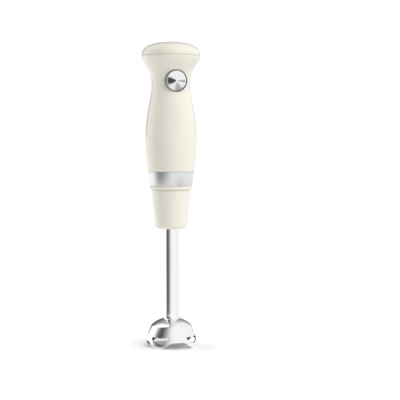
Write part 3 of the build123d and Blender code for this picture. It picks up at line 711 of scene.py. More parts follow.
@dataclass
class Handle:
    """The motor handle: cap, two grip shells, trim band and bead."""

    height: float = 0.3833
    cap_r: float = 0.0366
    seam_z: float = 0.3661
    seam_gap: float = 0.0008
    seam_depth: float = 0.0011
    lip_r: float = 0.0332
    lip_t: float = 0.0016
    lip_drop: float = 0.004
    crown_power: float = 2.5
    wall: float = 0.0022
    neck_r: float = 0.0241
    neck_z: float = 0.3295
    belly_r: float = 0.03195
    belly_z: float = 0.2675
    band_top_z: float = 0.2215
    band_top_r: float = 0.02875
    band_low_z: float = 0.203
    band_low_r: float = 0.0266
    band_t: float = 0.0008
    band_gap: float = 0.0004
    edge: float = 0.00035
    bezel_r: float = 0.014
    spigot_r: float = 0.0182
    bead_low_z: float = 0.1982
    screw_x: float = 0.025
    screw_zs: tuple[float, ...] = (0.285, 0.25)
    well_r: float = 0.0028
    well_y: float = 0.026
    well_depth: float = 0.03
    bezel_depth: float = 0.06
    shoulder: Point = (0.0293, 0.3516)
    waist: Point = (0.0283, 0.301)
    lean_top: Point = (-0.12, -1)
    lean_low: Point = (-0.14, -1)
    ease: Point = (0.00008, 0.0002)
    tail_gap: float = 0.0001
    tail: Point = (0.0245, 0.212)
    band_edge: float = 0.0003
    bead_low_r: float = 0.025
    bead_mid_z: float = 0.2003
    bead_top_r: float = 0.0259
    cup_r: float = 0.0243
    cup_bore_r: float = 0.022
    cup_z: float = 0.2145
    cup_floor_z: float = 0.2035

    def crown(self, radius: float, top: float, base: float, steps: int) -> list[Point]:
        """Quarter superellipse from the middle of the cap out and down to its edge."""
        power = 2 / self.crown_power
        result = []
        for i in range(steps + 1):
            t = math.pi / 2 * i / steps
            r = radius * math.sin(t) ** power
            z = base + (top - base) * max(math.cos(t), 0.0) ** power
            result.append((r, z))
        return result

    def make_cap(self) -> Piece:
        """The flattened cap with its lip."""
        base = self.seam_z + self.seam_gap / 2
        seat = self.seam_z - self.seam_gap / 2
        outer = self.crown(self.cap_r, self.height, base + self.edge, 40)
        inner = self.crown(self.lip_r - self.lip_t, self.height - self.wall, base, 24)
        under = [
            (self.cap_r - self.edge * 0.3, base + self.edge * 0.3),
            (self.cap_r - self.edge, base),
            (self.cap_r - self.seam_depth, base),
            (self.cap_r - self.seam_depth, seat),
            (self.lip_r, seat),
            (self.lip_r, seat - self.lip_drop + self.wall / 3),
            (self.lip_r - self.lip_t, seat - self.lip_drop),
        ]
        return turned("cap_shell", outer + under + inner[::-1])

    def grip_line(self, inset: float, steps: int) -> list[Point]:
        """The grip's side from the seam down to the band, drawn in by inset."""
        points = [
            (self.cap_r, self.seam_z - self.seam_gap / 2),
            self.shoulder,
            (self.neck_r, self.neck_z),
            self.waist,
            (self.belly_r, self.belly_z),
            (self.band_top_r, self.band_top_z),
        ]
        moved = [(r - inset, z) for r, z in points]
        return curve_through(moved, self.lean_top, self.lean_low, steps)

    def make_grip(self) -> list[Piece]:
        """The grip, turned whole, then parted into a front and a rear shell."""
        tail = self.band_t + self.tail_gap
        outer = self.grip_line(0.0, 96)
        top_r, top_z = outer[0]
        first = [(top_r - self.edge, top_z), (top_r - self.ease[0], top_z - self.ease[1])]
        under = [
            (self.band_top_r - self.ease[1], self.band_top_z),
            (self.band_top_r - tail, self.band_top_z),
            (self.band_low_r - tail, self.band_low_z),
            (self.tail[0], self.band_low_z),
            self.tail,
        ]
        inner = self.grip_line(self.wall, 40)
        outline = first + outer[1:] + under + inner[::-1]
        shells = []
        for name, front in (("grip_front", True), ("grip_rear", False)):
            piece = turned(name, outline)
            edit_all(piece)
            bpy.ops.mesh.bisect(
                plane_co=(0, 0, 0), plane_no=(0, 1, 0), use_fill=True,
                clear_inner=not front, clear_outer=front,
            )
            bpy.ops.object.mode_set(mode="OBJECT")
            shells.append(piece)
        return shells

    def make_band(self) -> Piece:
        """The rolled metal sleeve with eased edges."""
        low, high = self.band_low_z + self.band_gap, self.band_top_z - self.band_gap
        rise = (self.band_top_r - self.band_low_r) / (self.band_top_z - self.band_low_z)
        low_r = self.band_low_r + rise * (low - self.band_low_z)
        high_r = self.band_low_r + rise * (high - self.band_low_z)
        corners = [
            (low_r, low), (high_r, high), (high_r - self.band_t, high), (low_r - self.band_t, low)
        ]
        return turned("trim_sleeve", rounded(corners, [self.band_edge, self.band_edge, 0, 0]))

    def screws(self) -> list[Point]:
        """Where the rear screws stand, across and up."""
        return [(x, z) for x in (-self.screw_x, self.screw_x) for z in self.screw_zs]

    def wells(self) -> Piece:
        """Four tubes that the rear screws sit in, trimmed to the inside of the wall."""
        limit = self.grip_line(self.wall / 2, 48)
        core = turned("grip_core", [(0, limit[0][1]), *limit, (0, limit[-1][1])])
        bore, out, deep = self.well_r, self.well_r + self.wall / 2, self.belly_r
        section = [(bore, 0), (out, 0), (out, deep), (bore, deep)]
        turn = Matrix.Rotation(-math.pi / 2, 4, "X")
        tubes = []
        for x, z in self.screws():
            tube = turned("screw_well", section, SMALL_SEGMENTS // 2)
            tubes.append(place(tube, Matrix.Translation((x, self.ease[1], z)) @ turn))
        join(tubes[0], tubes[1:])
        cut_with(tubes[0], core, keep=True)
        return tubes[0]

    def finish_grip(self, front: Piece, rear: Piece) -> None:
        """Cut the button's hole in the front, and the screw wells and the inlet in the rear."""
        hole = drum("bezel_hole", self.bezel_r, self.bezel_depth, SEGMENTS)
        cut_with(front, place(hole, BUTTON_FRAME))
        close_and_smooth(front)
        turn = Matrix.Rotation(math.pi / 2, 4, "X")
        for x, z in self.screws():
            bore = drum("well_hole", self.well_r, self.well_depth, SMALL_SEGMENTS // 2)
            cut_with(rear, place(bore, Matrix.Translation((x, self.well_y, z)) @ turn))
        inlet = drum("inlet_hole", Inlet.sleeve_r, self.well_depth, SMALL_SEGMENTS)
        cut_with(rear, place(inlet, INLET_FRAME))
        join(rear, [self.wells()])
        close_and_smooth(rear)

    def make_bead(self) -> Piece:
        """The cream bead under the band, with the cup that clamps the band from inside."""
        low, mid = (self.bead_low_r, self.bead_low_z), (self.band_low_r, self.bead_mid_z)
        bead = arc(low, mid, (self.bead_top_r, self.band_low_z), 14)
        rest = [
            (self.cup_r, self.band_low_z),
            (self.cup_r, self.cup_z),
            (self.cup_bore_r, self.cup_z),
            (self.cup_bore_r, self.cup_floor_z),
            (self.spigot_r, self.cup_floor_z),
            (self.spigot_r, self.bead_low_z),
        ]
        return turned("nose_bead", bead + rest)

    def build(self, finishes: "Finishes") -> None:
        """Make every shown piece of the handle and put it on the handle's body."""
        cream = finishes.cream_abs
        cap = self.make_cap()
        front, rear = self.make_grip()
        self.finish_grip(front, rear)
        shown = (
            (cap, cream, "cream_plastic", "top_cap"),
            (front, cream, "cream_plastic", "housing_front"),
            (rear, cream, "cream_plastic", "housing_rear"),
            (self.make_band(), finishes.satin_steel, "satin_steel", "trim_band"),
            (self.make_bead(), cream, "cream_plastic", "nose_ring"),
        )
        for piece, finish, slot, node in shown:
            fit(piece, finish, Body.HANDLE, node)


@dataclass
class Inlet:
    """The rubber grommet that lines the cord's hole, high on the back."""

    bore_r: float = 0.0033
    sleeve_r: float = 0.0046
    flange_r: float = 0.0064
    inside: float = 0.006
    outside: float = 0.0018
    groove: Point = (-0.0044, 0.0003)
    roundings: tuple[float, ...] = (0.0005, 0.0003, 0, 0, 0, 0.0002, 0.0008, 0.0006)

    def build(self, finishes: "Finishes") -> None:
        """Make the flanged ring and fit it to the rear shell."""
        corners = [
            (self.bore_r, -self.inside),
            (self.flange_r, -self.inside),
            (self.flange_r, self.groove[0]),
            (self.sleeve_r, self.groove[0]),
            (self.sleeve_r, self.groove[1]),
            (self.flange_r, self.groove[1]),
            (self.flange_r, self.outside),
            (self.bore_r, self.outside),
        ]
        ring = turned("inlet_grommet", rounded(corners, self.roundings), SMALL_SEGMENTS)
        place(ring, INLET_FRAME)
        fit(ring, finishes.moulded_rubber, Body.HANDLE, "cord_grommet")


@dataclass
class PushButton:
    """The polished button and the drum-shaped bezel that it slides in."""

    bezel_r: float = 0.014
    bezel_t: float = 0.0011
    depth: float = 0.0105
    floor: float = 0.0015
    stem_bore_r: float = 0.00306
    gap: float = 0.00035
    cone: float = 0.0015
    rim: float = 0.0003
    skirt: float = 0.005
    skirt_t: float = 0.0013
    web: float = 0.002
    lip: tuple[float, ...] = (0, 0.0003, 0.00055, 0.0004, 0, 0)
    blunt: Point = (0.0022, 0.00016)
    face_end: Point = (0.0008, 0.00012)
    rim_start: Point = (0.0005, 0.00006)
    rim_mid: Point = (0.00012, 0.0001)
    rim_drop: float = 0.0005
    face_lean: Point = (1, -0.13)

    def make_bezel(self) -> Piece:
        """The drum, with a rounded lip and a floor that the stem passes through."""
        inner = self.bezel_r - self.bezel_t
        top_of_floor = -self.depth + self.floor
        corners = [
            (self.stem_bore_r, -self.depth),
            (self.bezel_r, -self.depth),
            (self.bezel_r, 0),
            (inner, 0),
            (inner, top_of_floor),
            (self.stem_bore_r, top_of_floor),
        ]
        outline = rounded(corners, self.lip, 6)
        return place(turned("bezel_drum", outline), BUTTON_FRAME)

    def make_button(self) -> Piece:
        """The shallow polished cone with a blunt tip and an eased rim."""
        radius = self.bezel_r - self.bezel_t - self.gap
        tip = -self.rim + self.cone
        middle = [(0, tip), (self.blunt[0], tip - self.blunt[1])]
        end = (radius - self.face_end[0], -self.rim + self.face_end[1])
        rim = arc(
            (radius - self.rim_start[0], -self.rim + self.rim_start[1]),
            (radius - self.rim_mid[0], -self.rim - self.rim_mid[1]),
            (radius, -self.rim - self.rim_drop), 5,
        )
        bore, foot, under = radius - self.skirt_t, -self.rim - self.skirt, -self.rim - self.web
        corners = [
            *curve_through([*middle, end], (1, 0), self.face_lean, 16), *rim,
            (radius, foot), (bore, foot), (bore, under), (0, under),
        ]
        return place(turned("button_face", corners), BUTTON_FRAME)

    def build(self, finishes: "Finishes") -> None:
        """Make the bezel and the button and fit each to its body."""
        bezel, button = self.make_bezel(), self.make_button()
        # the bezel's chrome is darkened by painted shade and painted reflection, for the dark
        # outline round the button
        fit(bezel, finishes.chrome, Body.HANDLE, "button_bezel")
        fit(button, finishes.spun_metal, Body.BUTTON, "power_button")


# ---------------------------------------------------------------- leg


@dataclass
class Leg:
    """The collar, the tube and the bearing sleeve of the leg."""

    top_z: float = 0.1979
    top_r: float = 0.0244
    low_z: float = 0.1535
    low_r: float = 0.0201
    bottom_z: float = 0.1488
    wall: float = 0.0019
    insert_r: float = 0.0219
    tube_r: float = 0.00905
    tube_t: float = 0.001
    tube_top_z: float = 0.182
    tube_foot_z: float = 0.0346
    flare_r: float = 0.0104
    flare_mid: Point = (0.00935, 0.036)
    flare_top_z: float = 0.0386
    foot_mid: Point = (0.0186, 0.1507)
    foot_r: float = 0.0134
    eases: tuple[float, ...] = (0.0004, 0.00012, 0.00004)
    floor_r: float = 0.0164
    floor_top_z: float = 0.1546
    ledge: float = 0.0009
    ledge_zs: Point = (0.18, 0.181)
    sleeve_bore_r: float = 0.006
    sleeve_r: float = 0.0086
    sleeve_wide_r: float = 0.0092
    sleeve_step: float = 0.001
    sleeve_neck: Point = (0.008, 0.031)
    sleeve_roundings: tuple[float, ...] = (0.0003, 0.0003, 0.0002, 0.0002, 0, 0.0002, 0)

    def make_collar(self) -> Piece:
        """The tapered cream collar, eased at its top and rounded in at its foot."""
        lean = (self.top_r - self.low_r) / (self.top_z - self.low_z)
        foot = curve_through(
            [(self.low_r, self.low_z), self.foot_mid, (self.foot_r, self.bottom_z)],
            (-lean, -1), (-1, 0), 18,
        )
        wide, mid, thin = self.eases
        easing = [
            (self.top_r - wide, self.top_z),
            (self.top_r - mid, self.top_z - mid),
            (self.top_r - thin, self.top_z - wide),
        ]
        steps = 12
        side = [
            (self.top_r - lean * d, self.top_z - d)
            for d in ((self.top_z - self.low_z) * i / steps for i in range(1, steps))
        ]
        inside = [
            (self.tube_r, self.bottom_z),
            (self.tube_r, self.bottom_z + self.wall),
            (self.floor_r, self.bottom_z + self.wall),
            (self.low_r - self.wall, self.floor_top_z),
            (self.insert_r - self.ledge, self.ledge_zs[0]),
            (self.insert_r, self.ledge_zs[1]),
            (self.insert_r, self.top_z),
        ]
        return turned("collar_shell", easing + side + foot + inside)

    def make_tube(self) -> Piece:
        """The long polished tube with a flared foot."""
        foot, top = (self.flare_r, self.tube_foot_z), (self.tube_r, self.flare_top_z)
        flare = arc(foot, self.flare_mid, top, 10)
        bore = self.tube_r - self.tube_t
        rest = [(self.tube_r, self.tube_top_z), (bore, self.tube_top_z), (bore, self.tube_foot_z)]
        return turned("leg_tube_drawn", flare + rest)

    def make_sleeve(self) -> Piece:
        """The turned bearing sleeve, seen from below inside the bell."""
        low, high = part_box("bearing_housing")
        neck_r, neck_z = self.sleeve_neck
        corners = [
            (self.sleeve_bore_r, low.z), (self.sleeve_r, low.z),
            (self.sleeve_wide_r, low.z + self.sleeve_step), (self.sleeve_wide_r, neck_z),
            (neck_r, neck_z), (neck_r, high.z), (self.sleeve_bore_r, high.z),
        ]
        outline = rounded(corners, self.sleeve_roundings)
        return turned("bearing_sleeve", outline, SMALL_SEGMENTS)

    def build(self, finishes: "Finishes") -> None:
        """Make the collar, tube and sleeve and fit them to the leg."""
        collar, tube, sleeve = self.make_collar(), self.make_tube(), self.make_sleeve()
        fit(collar, finishes.cream_abs, Body.LEG, "leg_collar")
        fit(tube, finishes.drawn_steel, Body.LEG, "leg_tube")
        fit(sleeve, finishes.turned_steel, Body.LEG, "bearing_housing")


@dataclass
class BellGuard:
    """The pressed bell: a dome, four feet, and a smile-shaped slot in each foot."""

    wall: float = 0.0015
    crown: Point = (0.0, 0.0352)
    crown_mid: Point = (0.0155, 0.0325)
    shoulder: Point = (0.0252, 0.0262)
    side_mid: Point = (0.0302, 0.0154)
    rim: Point = (0.0332, 0.0)
    seat_r: float = 0.0104
    seat_z: float = 0.0346
    bore_r: float = 0.008
    arch_z: float = 0.008
    foot_r: float = 0.0166
    foot_z: float = 0.0163
    slot_r: float = 0.0139
    slot_z: float = 0.0196
    slot_top_r: float = 0.0565
    slot_top_z: float = 0.0133
    slot_end_r: float = 0.0016
    facets: int = 240
    blend_r: float = 0.01
    foot_from_r: float = 0.02
    edge: float = 0.0003
    shoulder_in: Point = (0.0012, 0.0011)
    side_in: Point = (0.00145, 0.0003)
    dome_in_r: float = 0.0151
    punch_depth: float = 0.05
    tool_size: float = 0.1
    overlap: float = 0.001
    inward: float = -0.5
    downward: float = -0.3
    dome_depth: float = 0.004

    def outline(self) -> list[Point]:
        """Section of the bell's wall, with the shoulder eased."""
        dome = [p for p in arc(self.crown, self.crown_mid, self.shoulder, 30) if p[0] > self.seat_r]
        side = arc(self.shoulder, self.side_mid, self.rim, 44)
        outer = [(self.bore_r, self.seat_z), (self.seat_r, self.seat_z), *dome, *side[1:]]
        inner_shoulder = (
            self.shoulder[0] - self.shoulder_in[0], self.shoulder[1] - self.shoulder_in[1]
        )
        inner_mid = (self.side_mid[0] - self.side_in[0], self.side_mid[1] - self.side_in[1])
        side_in = arc((self.rim[0] - self.wall, 0.0), inner_mid, inner_shoulder, 44)
        dome_in = arc(inner_shoulder, (self.dome_in_r, self.crown_mid[1] - self.wall),
                      (0.0, self.crown[1] - self.wall), 20)
        dome_in = [p for p in dome_in[1:] if p[0] > self.bore_r]
        return outer + side_in + dome_in + [(self.bore_r, dome_in[-1][1])]

    def slot_outline(self) -> list[Point]:
        """The slot's outline, across and up: a deep arc below, a sagging one above."""
        above = self.slot_top_z + self.slot_top_r
        reach = above - self.slot_z
        drop = (reach**2 + self.slot_r**2 - self.slot_top_r**2) / (2 * reach)
        corner_z = self.slot_z + drop
        corner_x = math.sqrt(self.slot_r**2 - drop**2)
        corners = ((-corner_x, corner_z), (corner_x, corner_z))
        below = arc(corners[0], (0.0, self.slot_z - self.slot_r), corners[1], 28)
        top = arc(corners[1], (0.0, self.slot_top_z), corners[0], 20)
        clear = self.slot_end_r * 2.4

        def away(point: Point) -> bool:
            """Whether a point stands clear of both corners."""
            return all(math.dist(point, corner) > clear for corner in corners)

        points = [corners[0], *filter(away, below), corners[1], *filter(away, top)]
        radii = [self.slot_end_r if p in corners else 0.0 for p in points]
        return rounded(points, radii, 6)

    def dull_and_shade_inside(self, bell: Piece, shaded_steel: bpy.types.Material) -> None:
        """Leave the faces that look in at the blade unpolished, in a second material slot whose
        darker colour is painted shade.
        """
        bell.data.materials.append(shaded_steel)
        for face in bell.data.polygons:
            across = Vector((face.center.x, face.center.y, 0.0)).normalized()
            outward = face.normal.dot(across)
            in_dome = face.center.z > self.shoulder[1] - self.dome_depth
            if outward < self.inward or (in_dome and face.normal.z < self.downward):
                face.material_index = 1

    def foot_outline(self) -> list[Point]:
        """A foot seen square on: a round sole, rounded in to the arches on both sides."""
        blend_z = self.arch_z - self.blend_r
        apart = self.foot_r + self.blend_r
        half = math.sqrt(apart**2 - (self.foot_z - blend_z) ** 2)
        share = self.foot_r / apart
        touch = (half * share, self.foot_z + (blend_z - self.foot_z) * share)
        turn = (math.atan2(touch[1] - blend_z, touch[0] - half) + math.pi / 2) / 2
        mid = (half + self.blend_r * math.cos(turn), blend_z + self.blend_r * math.sin(turn))
        right = arc((half, self.arch_z), mid, touch, 14)
        sole = arc(touch, (0, self.foot_z - self.foot_r), (-touch[0], touch[1]), 56)
        left = [(-x, z) for x, z in reversed(right)]
        above = self.arch_z + self.overlap
        return [*right, *sole[1:-1], *left, (-half, above), (half, above)]

    def arch_tool(self) -> Piece:
        """All that is cut away below the arches, between the four feet."""
        size = self.tool_size
        deselect_all()
        bpy.ops.mesh.primitive_cube_add(size=size, location=(0, 0, self.arch_z - size / 2))
        tool = bpy.context.object
        bpy.ops.object.transform_apply(location=True, rotation=False, scale=False)
        for turn in quarter_turns():
            foot = prism("foot", self.foot_outline(), size)
            cut_with(tool, place(foot, turn @ Matrix.Translation((self.foot_from_r, 0, 0))))
        return tool

    def build(self, finishes: "Finishes") -> None:
        """Turn the dome, cut its arches, feet and slots, and ease its edges."""
        bell = turned("bell_pressing", self.outline(), self.facets)
        cut_with(bell, self.arch_tool())
        for turn in quarter_turns():
            cut_with(bell, place(prism("slot_punch", self.slot_outline(), self.punch_depth), turn))
        put_in_order(bell)
        close_and_smooth(bell)
        apply_modifier(
            bell, "BEVEL", width=self.edge, segments=2, limit_method="ANGLE",
            angle_limit=math.radians(50), use_clamp_overlap=True,
        )
        fill_pinholes(bell)
        put_in_order(bell)
        close_and_smooth(bell)
        fit(bell, finishes.buffed_steel, Body.LEG, "bell_guard")
        # the inside faces get rougher steel whose darker colour is painted shade
        self.dull_and_shade_inside(bell, finishes.shaded_inner_steel)


@dataclass
class BladeSet:
    """The three-winged blade and its hub."""

    wing_start: float = 0.0052
    wing_tip: float = 0.0224
    root_width: float = 0.0092
    tip_width: float = 0.0042
    sweep: float = 0.0028
    thickness: float = 0.0015
    pitch: float = math.radians(7)
    low_z: float = 0.01155
    columns: int = 16
    rows: int = 4
    edge: float = 0.00035
    angles: tuple[int, ...] = (90, 210, 330)
    bore_r: float = 0.003
    eye_r: float = 0.006
    eye_zs: Point = (0.0114, 0.0132)
    eye_edge: float = 0.0003
    hub_r: float = 0.0056
    hub_z: float = 0.016
    hub_top: Point = (0.0046, 0.0182)
    hub_roundings: tuple[float, ...] = (0, 0, 0.0006, 0.0004, 0)

    def make_wing(self) -> Piece:
        """One wing: a strip that narrows and sweeps back, then thickened; it is pitched where it is
        placed.
        """
        length = self.wing_tip - self.wing_start
        middle = (self.wing_tip + self.wing_start) / 2
        deselect_all()
        bpy.ops.mesh.primitive_grid_add(
            x_subdivisions=self.columns, y_subdivisions=self.rows, size=1.0, location=(0, 0, 0)
        )
        wing = bpy.context.object
        wing.name = wing.data.name = "blade_wing"
        wing.scale = (length, self.root_width, 1)
        wing.location = (middle, 0, 0)
        bpy.ops.object.transform_apply(location=True, rotation=False, scale=True)
        bpy.ops.object.mode_set(mode="EDIT")
        pitch = length / self.columns
        for column in range(self.columns + 1):
            x = self.wing_start + column * pitch
            along = column / self.columns
            select_where(wing, lambda co: abs(co.x - x) < pitch * 0.3)
            width = 1 + (self.tip_width / self.root_width - 1) * along
            bpy.ops.transform.resize(value=(1, width, 1), center_override=(x, 0, 0))
            bpy.ops.transform.translate(value=(0, self.sweep * along**2, 0.0))
        bpy.ops.object.mode_set(mode="OBJECT")
        apply_modifier(wing, "SOLIDIFY", thickness=self.thickness, offset=1.0)
        apply_modifier(
            wing, "BEVEL", width=self.edge, segments=2, limit_method="ANGLE",
            angle_limit=math.radians(40),
        )
        return wing

    def build(self, finishes: "Finishes") -> None:
        """Make the blade with its eye, then the hub."""
        low, high = self.eye_zs
        ring = [(self.bore_r, low), (self.eye_r, low), (self.eye_r, high), (self.bore_r, high)]
        outline = rounded(ring, [0, self.eye_edge, self.eye_edge, 0])
        eye = turned("blade_pressing", outline, SMALL_SEGMENTS)
        wings = []
        for angle in self.angles:
            wing = self.make_wing()
            tilt = Matrix.Translation((0, 0, self.low_z)) @ Matrix.Rotation(self.pitch, 4, "X")
            wings.append(place(wing, Matrix.Rotation(math.radians(angle), 4, "Z") @ tilt))
        join(eye, wings)
        close_and_smooth(eye)
        fit(eye, finishes.ground_steel, Body.BLADE_SHAFT, "blade")
        boss = [
            (self.bore_r, high), (self.hub_r, high), (self.hub_r, self.hub_z), self.hub_top,
            (self.bore_r, self.hub_top[1]),
        ]
        hub = turned("blade_boss", rounded(boss, self.hub_roundings), SMALL_SEGMENTS)
        fit(hub, finishes.turned_steel, Body.BLADE_SHAFT, "blade_hub")


# ---------------------------------------------------------------- studio


ROOM_LIGHT = 1.0
# name, place, watts and size: a key in front to the right, a weak rim behind to the left
LIGHTS = (("key", (0.8, -1.6, 1.8), 12.5, 1.2), ("rim", (-1.2, 0.7, 0.55), 4.0, 0.7))
FLOOR_GLOW = (0.17, 0.45)    # of the board under the bell, and at its rim
# degrees from the camera, towards its left, and how bright the wall is there
WALLS = (
    (-180, 0.5), (-165, 0.85), (-145, 1.0), (-60, 1.06), (-4, 1.02), (14, 0.7), (32, 0.34),
    (50, 0.1), (68, 0.12), (82, 0.45), (98, 1.2), (140, 1.35), (165, 0.9), (179, 0.5),
)
# how bright the screen behind is, by the height that it is seen at, and how far round it reaches
SCREEN = ((0.0, 0.05), (0.25, 0.08), (0.55, 0.3), (1.0, 0.6))
SCREEN_WIDTH = ((-180, 0.8), (-165, 0.7), (-145, 0.0), (130, 0.0), (152, 1.0), (179, 1.0))
# black cards round the button: bearing and drop in degrees, width and height in metres
CARDS = ((-0.4, 9.0, 0.036, 0.046), (31.0, 8.0, 0.026, 0.010))
# the floor of the room well in front, grey towards the right
LOW_SCREEN = ((-170, 0.9), (-85, 0.8), (-60, 0.4), (-34, 0.4), (-26, 0.95), (100, 0.95), (179, 0.9))
# how steeply up or down a view must look before it meets the screen, and the low part of the room
SCREEN_FROM = (-0.01, 0.03)
LOW_FROM = (-0.3, -0.36)
CARD_BLACK = (0.03, 0.03, 0.03, 1)
WHITE = (1, 1, 1, 1)


@dataclass
class Studio:
    """A round white board, a painted room, two soft lights, two black cards and the camera."""

    camera_azimuth: float = math.radians(-15.5)
    camera_distance: float = 1.328
    camera_height: float = 0.257
    look_right: float = math.radians(1.58)
    look_down: float = math.radians(3.1)
    lens: float = 94.5
    sensor: float = 36.0
    floor_r: float = 0.13
    floor_sides: int = 96
    shadow_r: float = 0.05
    card_distance: float = 0.15
    aim_z: float = 0.2

    def make_camera(self) -> None:
        """The camera, in front and a little to the left of the button."""
        data = bpy.data.cameras.new("camera")
        data.lens = self.lens
        data.sensor_width = self.sensor
        camera = bpy.data.objects.new("camera", data)
        bpy.context.scene.collection.objects.link(camera)
        spot = Vector((math.sin(self.camera_azimuth), -math.cos(self.camera_azimuth), 0))
        camera.location = spot * self.camera_distance + Vector((0, 0, self.camera_height))
        heading = self.camera_azimuth - self.look_right
        camera.rotation_euler = (math.pi / 2 - self.look_down, 0, heading)
        bpy.context.scene.camera = camera

    def make_floor(self) -> None:
        """A round white board, softly lit from within so that its rim melts into the room."""
        deselect_all()
        bpy.ops.mesh.primitive_circle_add(
            vertices=self.floor_sides, radius=self.floor_r, fill_type="NGON"
        )
        floor = bpy.context.object
        floor.name = "floor"
        material = bpy.data.materials.new("matt_white_board")
        tree = new_tree(material)
        where = add_node(tree, "ShaderNodeTexCoord").outputs["Object"]
        grain = add_node(tree, "ShaderNodeTexNoise", {"Vector": where, "Scale": 3.0, "Detail": 2.0})
        out = add_node(tree, "ShaderNodeVectorMath", {0: where}, operation="LENGTH")
        span = (self.shadow_r, self.floor_r)
        surface = {
            "Base Color": mix(tree, grain.outputs[0], linear("#F6F6F6"), linear("#F3F3F3")),
            "Roughness": 0.8,
            "Emission Color": WHITE,
            "Emission Strength": map_range(tree, out.outputs["Value"], span, FLOOR_GLOW),
        }
        shader = add_node(tree, "ShaderNodeBsdfPrincipled", surface)
        add_node(tree, "ShaderNodeOutputMaterial", {"Surface": shader.outputs[0]})
        floor.data.materials.append(material)

    def make_room(self) -> None:
        """Painted walls, a dark screen behind above the floor, and a grey patch low in front."""
        world = bpy.data.worlds.new("white_room")
        bpy.context.scene.world = world
        tree = new_tree(world)
        where = add_node(tree, "ShaderNodeTexCoord").outputs["Generated"]
        x, y, z = add_node(tree, "ShaderNodeSeparateXYZ", {0: where}).outputs
        turn = map_range(tree, maths(tree, "ARCTAN2", x, y), (-math.pi, math.pi), (0.0, 1.0))
        walls, behind, low = (
            self.paint_round(tree, turn, levels) for levels in (WALLS, SCREEN_WIDTH, LOW_SCREEN)
        )
        above = map_range(tree, z, SCREEN_FROM, (0.0, 1.0))
        screened = maths(tree, "MULTIPLY", behind, above)
        level = mix(tree, screened, walls, self.paint(tree, z, SCREEN))
        level = mix(tree, map_range(tree, z, LOW_FROM, (0.0, 1.0)), level, low)
        lit = add_node(tree, "ShaderNodeBackground", {0: level, 1: ROOM_LIGHT}).outputs[0]
        plain = add_node(tree, "ShaderNodeBackground", {0: WHITE, 1: 1.0}).outputs[0]
        straight = add_node(tree, "ShaderNodeLightPath").outputs["Is Camera Ray"]
        both = add_node(tree, "ShaderNodeMixShader", {0: straight, 1: lit, 2: plain})
        add_node(tree, "ShaderNodeOutputWorld", {0: both.outputs[0]})

    def paint(self, tree: Tree, at: Socket, stops: Sequence[Point]) -> Socket:
        """Read grey levels off a ramp at a value.

        Args:
            tree: The node tree to add to.
            at: The value to read at, 0 to 1.
            stops: Each level's place along the ramp, and the level.

        Returns:
            The grey level's output socket.
        """
        node = add_node(tree, "ShaderNodeValToRGB", {0: at})
        ramp = node.color_ramp
        ramp.interpolation = "EASE"
        while len(ramp.elements) < len(stops):
            ramp.elements.new(0.5)
        for element, (spot, level) in zip(ramp.elements, stops):
            element.position = spot
            element.color = (level, level, level, 1)
        return node.outputs[0]

    def paint_round(self, tree: Tree, turn: Socket, levels: Sequence[Point]) -> Socket:
        """Read grey levels off a ramp that runs once round the room.

        Args:
            tree: The node tree to add to.
            turn: The bearing, atan2(x, y), from 0 at a half turn back to 1 at a half turn on.
            levels: Degrees from the camera towards its left, and the level there.

        Returns:
            The grey level's output socket.
        """
        camera = math.atan2(math.sin(self.camera_azimuth), -math.cos(self.camera_azimuth))
        stops = [(camera + math.radians(d), level) for d, level in levels]
        places = sorted((((a + math.pi) % math.tau) / math.tau, level) for a, level in stops)
        return self.paint(tree, turn, places)

    def make_lights(self) -> None:
        """Two large soft lights, which the room's own walls stand for in reflections."""
        for name, spot, watts, size in LIGHTS:
            data = bpy.data.lights.new(name, "AREA")
            data.energy = watts
            data.size = size
            light = bpy.data.objects.new(name, data)
            light.location = spot
            aim = Vector((0, 0, self.aim_z)) - light.location
            light.rotation_euler = aim.to_track_quat("-Z", "Y").to_euler()
            light.visible_glossy = False
            bpy.context.scene.collection.objects.link(light)

    def make_cards(self) -> None:
        """Small black cards near the button, seen only in its polish."""
        black = bpy.data.materials.new("black_card")
        black.use_nodes = True
        shader = black.node_tree.nodes["Principled BSDF"]
        shader.inputs["Base Color"].default_value = CARD_BLACK
        shader.inputs["Specular IOR Level"].default_value = 0.0
        for azimuth, drop, width, height in CARDS:
            deselect_all()
            turn = math.radians(azimuth)
            spot = Vector((math.sin(turn), -math.cos(turn), -math.tan(math.radians(drop))))
            middle = BUTTON_FRAME.translation + spot * self.card_distance
            bpy.ops.mesh.primitive_plane_add(size=1.0)
            card = bpy.context.object
            card.name = "black_card"
            upright = Matrix.Rotation(turn, 4, "Z") @ Matrix.Rotation(math.pi / 2, 4, "X")
            size = Matrix.Diagonal((width, height, 1, 1))
            place(card, Matrix.Translation(middle) @ upright @ size)
            card.data.materials.append(black)
            card.visible_camera = card.visible_diffuse = card.visible_shadow = False

    def build(self) -> None:
        """Set up the camera, floor, room, lights and cards."""
        scene = bpy.context.scene
        scene.view_settings.view_transform = "Standard"
        self.make_camera()
        self.make_floor()
        self.make_room()
        self.make_lights()
        self.make_cards()


def show_frame(frame: dict[str, Any], finishes: Finishes) -> None:
    """Dress every CAD node by its slot, so that nothing is left plain."""
    by_slot = {
        "cream_plastic": finishes.cream_abs,
        "satin_steel": finishes.satin_steel,
        "chromed_metal": finishes.chrome,
        "polished_steel": finishes.drawn_steel,
        "machined_steel": finishes.turned_steel,
        "lamination_steel": finishes.sheet_stack,
        "enamelled_copper": finishes.enamelled_wire,
        "bare_copper": finishes.turned_copper,
        "brass": finishes.pressed_brass,
        "carbon": finishes.pressed_carbon,
        "dark_plastic": finishes.filled_nylon,
        "red_plastic": finishes.red_acetal,
        "board_laminate": finishes.masked_board,
        "yellow_film": finishes.cast_epoxy,
        "rubber": finishes.moulded_rubber,
        "sintered_bronze": finishes.sintered_bronze,
    }
    for row in frame["record"]["subparts"]:
        dress(frame["nodes"][row["node"]], by_slot[row["material_slot"]])


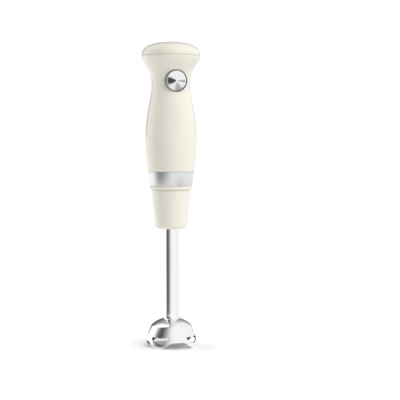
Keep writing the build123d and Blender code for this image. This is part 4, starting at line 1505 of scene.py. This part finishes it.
def main() -> None:
    """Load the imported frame, build the pieces round it and light them."""
    logging.basicConfig(level=logging.INFO, format="%(name)s %(message)s")
    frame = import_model()
    finishes = Finishes()
    show_frame(frame, finishes)
    for assembly in (Handle(), Inlet(), PushButton(), Leg(), BellGuard(), BladeSet()):
        assembly.build(finishes)
    Studio().build()


if __name__ == "__main__":
    main()
